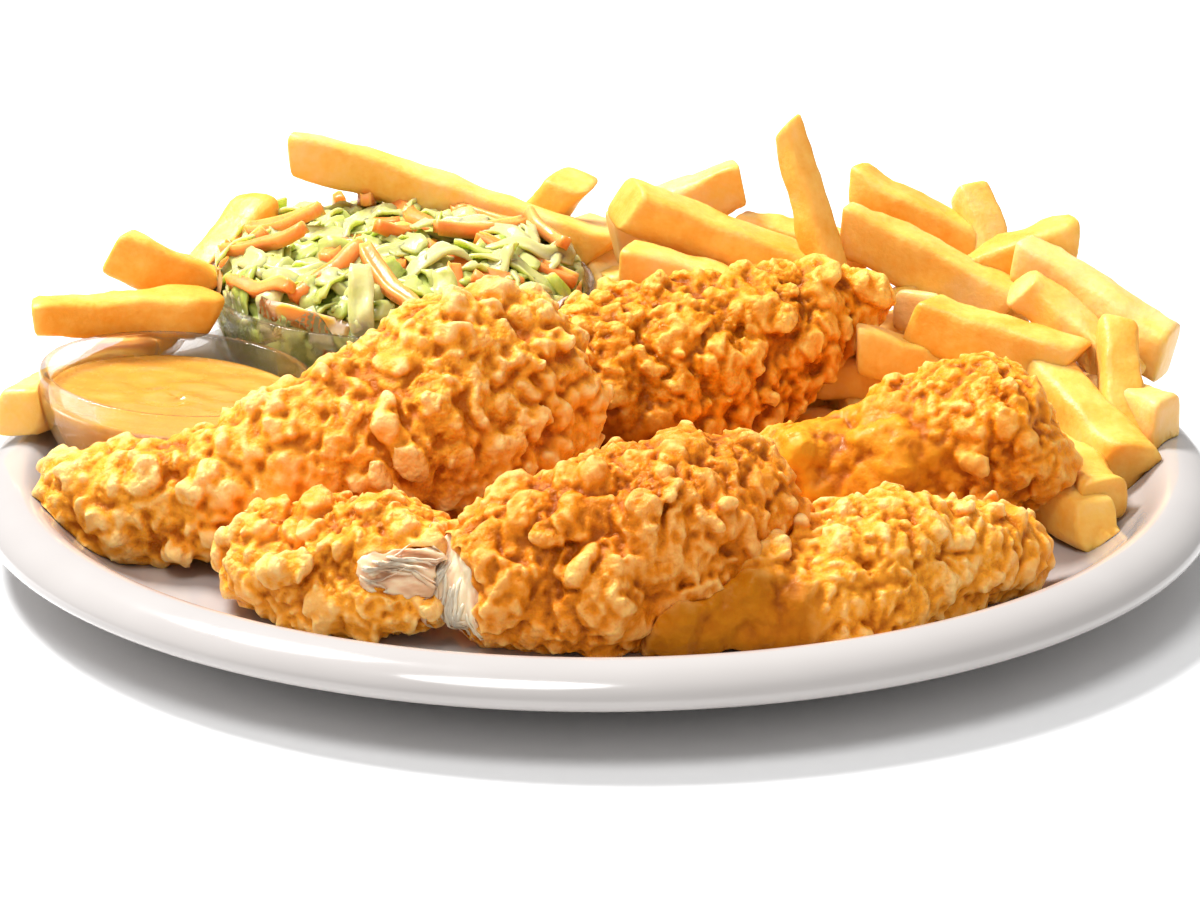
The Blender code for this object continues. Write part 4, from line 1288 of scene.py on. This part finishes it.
def scatter_tree():
    """Lays shreds over a surface at random angles, each with a tone of its own."""
    kinds = {
        "Shreds": "NodeSocketCollection", "Spacing": "NodeSocketFloat", "Lift": "NodeSocketFloat",
        "Tilt": "NodeSocketFloat", "Seed": "NodeSocketInt", "Least": "NodeSocketFloat",
        "Most": "NodeSocketFloat", "Finish": "NodeSocketMaterial",
    }
    tree, entry, exit_node = new_tree("lay_shreds", kinds)
    get = entry.outputs
    points = put(tree, "GeometryNodeDistributePointsOnFaces", {
        "Mesh": get["Geometry"], "Distance Min": get["Spacing"], "Density Max": 3e5, "Seed": get["Seed"],
    }, distribute_method="POISSON")
    most_lean = put(tree, "ShaderNodeCombineXYZ", {0: get["Tilt"], 1: get["Tilt"], 2: math.pi}).outputs[0]
    lean = drawn_value(tree, (-1, -1, -1), (1, 1, 1), get["Seed"])
    turn = turned_at_random(tree, points, vectors(tree, "MULTIPLY", lean, most_lean))
    rise = drawn_value(tree, 0.0, get["Lift"], get["Seed"])
    rise = vectors(tree, "SCALE", points.outputs["Normal"], rise)
    lifted = moved(tree, points.outputs["Points"], rise)
    shreds = put(tree, "GeometryNodeCollectionInfo", {
        "Collection": get["Shreds"], "Separate Children": True, "Reset Children": True,
    })
    placed = put(tree, "GeometryNodeInstanceOnPoints", {
        "Points": lifted, "Instance": shreds.outputs[0], "Pick Instance": True, "Rotation": turn,
    })
    tone = drawn_value(tree, get["Least"], get["Most"], get["Seed"])
    toned = stored(tree, placed.outputs[0], "tone", tone, "INSTANCE")
    real = put(tree, "GeometryNodeRealizeInstances", {"Geometry": toned}).outputs[0]
    done = put(tree, "GeometryNodeSetMaterial", {"Geometry": real, "Material": get["Finish"]}).outputs[0]
    tree.links.new(done, exit_node.inputs[0])
    return tree


LAY = scatter_tree()


def shred_kinds(name, count, seed, length, width, thick, curl, twist, waves, finish):
    """A few shreds of one kind, for scattering. Length, width and curl are drawn between two limits."""
    kinds = bpy.data.collections.new(name)
    draw = random.Random(seed)
    for number in range(count):
        sizes = (draw.uniform(*length), draw.uniform(*width), thick)
        bends = (draw.uniform(*curl), draw.uniform(-twist, twist), waves)
        one = strip_shape(f"{name}_{number}", *sizes, *bends, seed + number * 3.7, finish)
        bpy.context.scene.collection.objects.unlink(one)
        kinds.objects.link(one)
    return kinds


def keep_in_bowl(obj):
    """Moves shreds that poke through the glass back against its inner side."""
    bowl = SLAW_BOWL
    place = np.array(seat(bowl))
    local = (read_points(obj.data) - place[:3, 3]) @ place[:3, :3]
    away = np.hypot(local[:, 0], local[:, 1])
    share = np.clip(local[:, 2] / bowl["height"], 0.02, 1)
    limit = bowl_radius(bowl, share, bowl["wall"] - INTO_GLASS)
    limit = np.where(local[:, 2] > bowl["height"] - 2, bowl["rim"] - bowl["wall"] - 0.6, limit)
    below = local[:, 2] < bowl["height"] + 9.0
    pull = np.where(below & (away > limit), limit / np.maximum(away, 0.01), 1.0)
    local[:, 0] *= pull
    local[:, 1] *= pull
    local[:, 2] = np.maximum(local[:, 2], bowl["wall"] * FLOOR_TO_WALL - INTO_GLASS)
    write_points(obj.data, local @ place[:3, :3].T + place[:3, 3])


def make_slaw():
    """The coleslaw: its heap, and three kinds of shreds laid over it."""
    heap = slaw_heap()
    heap.data.materials.append(CABBAGE)
    store_values(heap.data, "tone", [0.5] * len(heap.data.vertices))
    # Each kind: finish, spacing, lift, tilt, darkest and palest tone, and its shreds.
    kinds = (
        ("cabbage_shreds", CABBAGE, 8.2, 5.8, 0.2, 0.25, 0.95,
         shred_kinds("cabbage_kinds", 14, 60, (20, 36), (4.0, 6.6), 0.9, (0.1, 1.6), 0.8, 2.0, CABBAGE)),
        ("cabbage_crumple", CABBAGE, 6.0, 4.2, 0.34, 0.25, 0.8,
         shred_kinds("crumple_kinds", 10, 90, (11, 20), (5.0, 8.0), 0.9, (-0.2, 1.8), 0.9, 2.6, CABBAGE)),
        ("carrot_shreds", CARROT, 15.0, 5.8, 0.14, 0.1, 0.9,
         shred_kinds("carrot_kinds", 8, 30, (22, 29), (3.2, 4.2), 3.0, (-0.2, 0.2), 0.2, 0.3, CARROT)),
    )
    made = []
    for number, (name, finish, spacing, lift, tilt, least, most, shreds) in enumerate(kinds):
        piece = bpy.data.objects.new(name, heap.data.copy())
        bpy.context.scene.collection.objects.link(piece)
        run_tree(piece, LAY, {
            "Shreds": shreds, "Spacing": spacing * MM, "Lift": lift * MM, "Tilt": tilt,
            "Seed": SLAW_SEED + number, "Least": least, "Most": most, "Finish": finish,
        })
        keep_in_bowl(piece)
        piece.data.shade_smooth()
        made.append(piece)
        for one in list(shreds.objects):
            bpy.data.objects.remove(one, do_unlink=True)
        bpy.data.collections.remove(shreds)
    keep_in_bowl(heap)
    made.append(heap)
    for piece in made:
        hand_in(piece, "slaw")


# Floor, light and camera.

# Each lamp: place, diameter and power. Places, diameters and the camera's distance are in metres.
LAMPS = {
    "window": ((-0.55, 0.42, 1.12), 0.4, 31.0),
    "ceiling": ((-0.25, -0.5, 1.2), 0.6, 8.0),
}
LAMP_TARGET = (0, 0, 0.02)
ROOM_LIGHT = 0.48
FLOOR_BELOW = 0.05
CAMERA_LENS = 105.9
CAMERA_PITCH = 18.5
CAMERA_DISTANCE = 0.805
CAMERA_TARGET = (0.5, 2, 18)


def make_stage():
    """A pale floor just under the plate, wide enough to reach past the view."""
    corners = ((-900, -900), (900, -900), (900, 1500), (-900, 1500))
    verts = [(x, y, -FLOOR_BELOW) for x, y in corners]
    finish, tree, shader = new_material("pale_floor", {"Roughness": 0.6})
    colour = ramp(tree, pattern(tree, 8, 2), ((0.3, (0.86, 0.86, 0.86)), (0.7, (0.88, 0.88, 0.88))))
    tree.links.new(colour, shader.inputs["Base Color"])
    mesh_object("floor", verts, [(0, 1, 2, 3)], finish, smooth=False)


def add_lamp(name, place, size, power):
    """A round soft lamp that looks at the food."""
    data = bpy.data.lights.new(name, "AREA")
    data.shape = "DISK"
    data.size = size
    data.energy = power
    lamp = bpy.data.objects.new(name, data)
    bpy.context.scene.collection.objects.link(lamp)
    lamp.location = place
    lamp.rotation_euler = (Vector(LAMP_TARGET) - Vector(place)).to_track_quat("-Z", "Y").to_euler()


def light_the_table():
    """A bright even room, a strong window behind on the left and a weaker lamp in front."""
    world = bpy.data.worlds.new("soft_room")
    bpy.context.scene.world = world
    world.use_nodes = True
    background = world.node_tree.nodes["Background"]
    background.inputs["Color"].default_value = (1.0, 1.0, 1.0, 1)
    background.inputs["Strength"].default_value = ROOM_LIGHT
    for name, (place, size, power) in LAMPS.items():
        add_lamp(name, place, size, power)
    bpy.context.scene.view_settings.view_transform = "Standard"


def place_camera():
    """The photograph's view: from the diner's side, a little from above and far away."""
    data = bpy.data.cameras.new("photo_camera")
    data.sensor_width = 36
    data.lens = CAMERA_LENS
    data.clip_start = 0.01
    camera = bpy.data.objects.new("photo_camera", data)
    bpy.context.scene.collection.objects.link(camera)
    pitch = math.radians(CAMERA_PITCH)
    target = Vector(CAMERA_TARGET) * MM
    camera.location = target + Vector((0, -math.cos(pitch), math.sin(pitch))) * CAMERA_DISTANCE
    camera.rotation_euler = (math.radians(90) - pitch, 0, 0)
    bpy.context.scene.camera = camera


make_plate()
for bowl_name, bowl_sizes in BOWLS.items():
    make_bowl(bowl_name, bowl_sizes)
make_dip()
make_slaw()
for heap_name, heap_sizes in HEAPS.items():
    make_fries(heap_name, heap_sizes)
for tender_name in TENDERS:
    make_crust(tender_name)
for meat_name in FIBRES:
    make_meat(meat_name)
make_stage()
light_the_table()
place_camera()
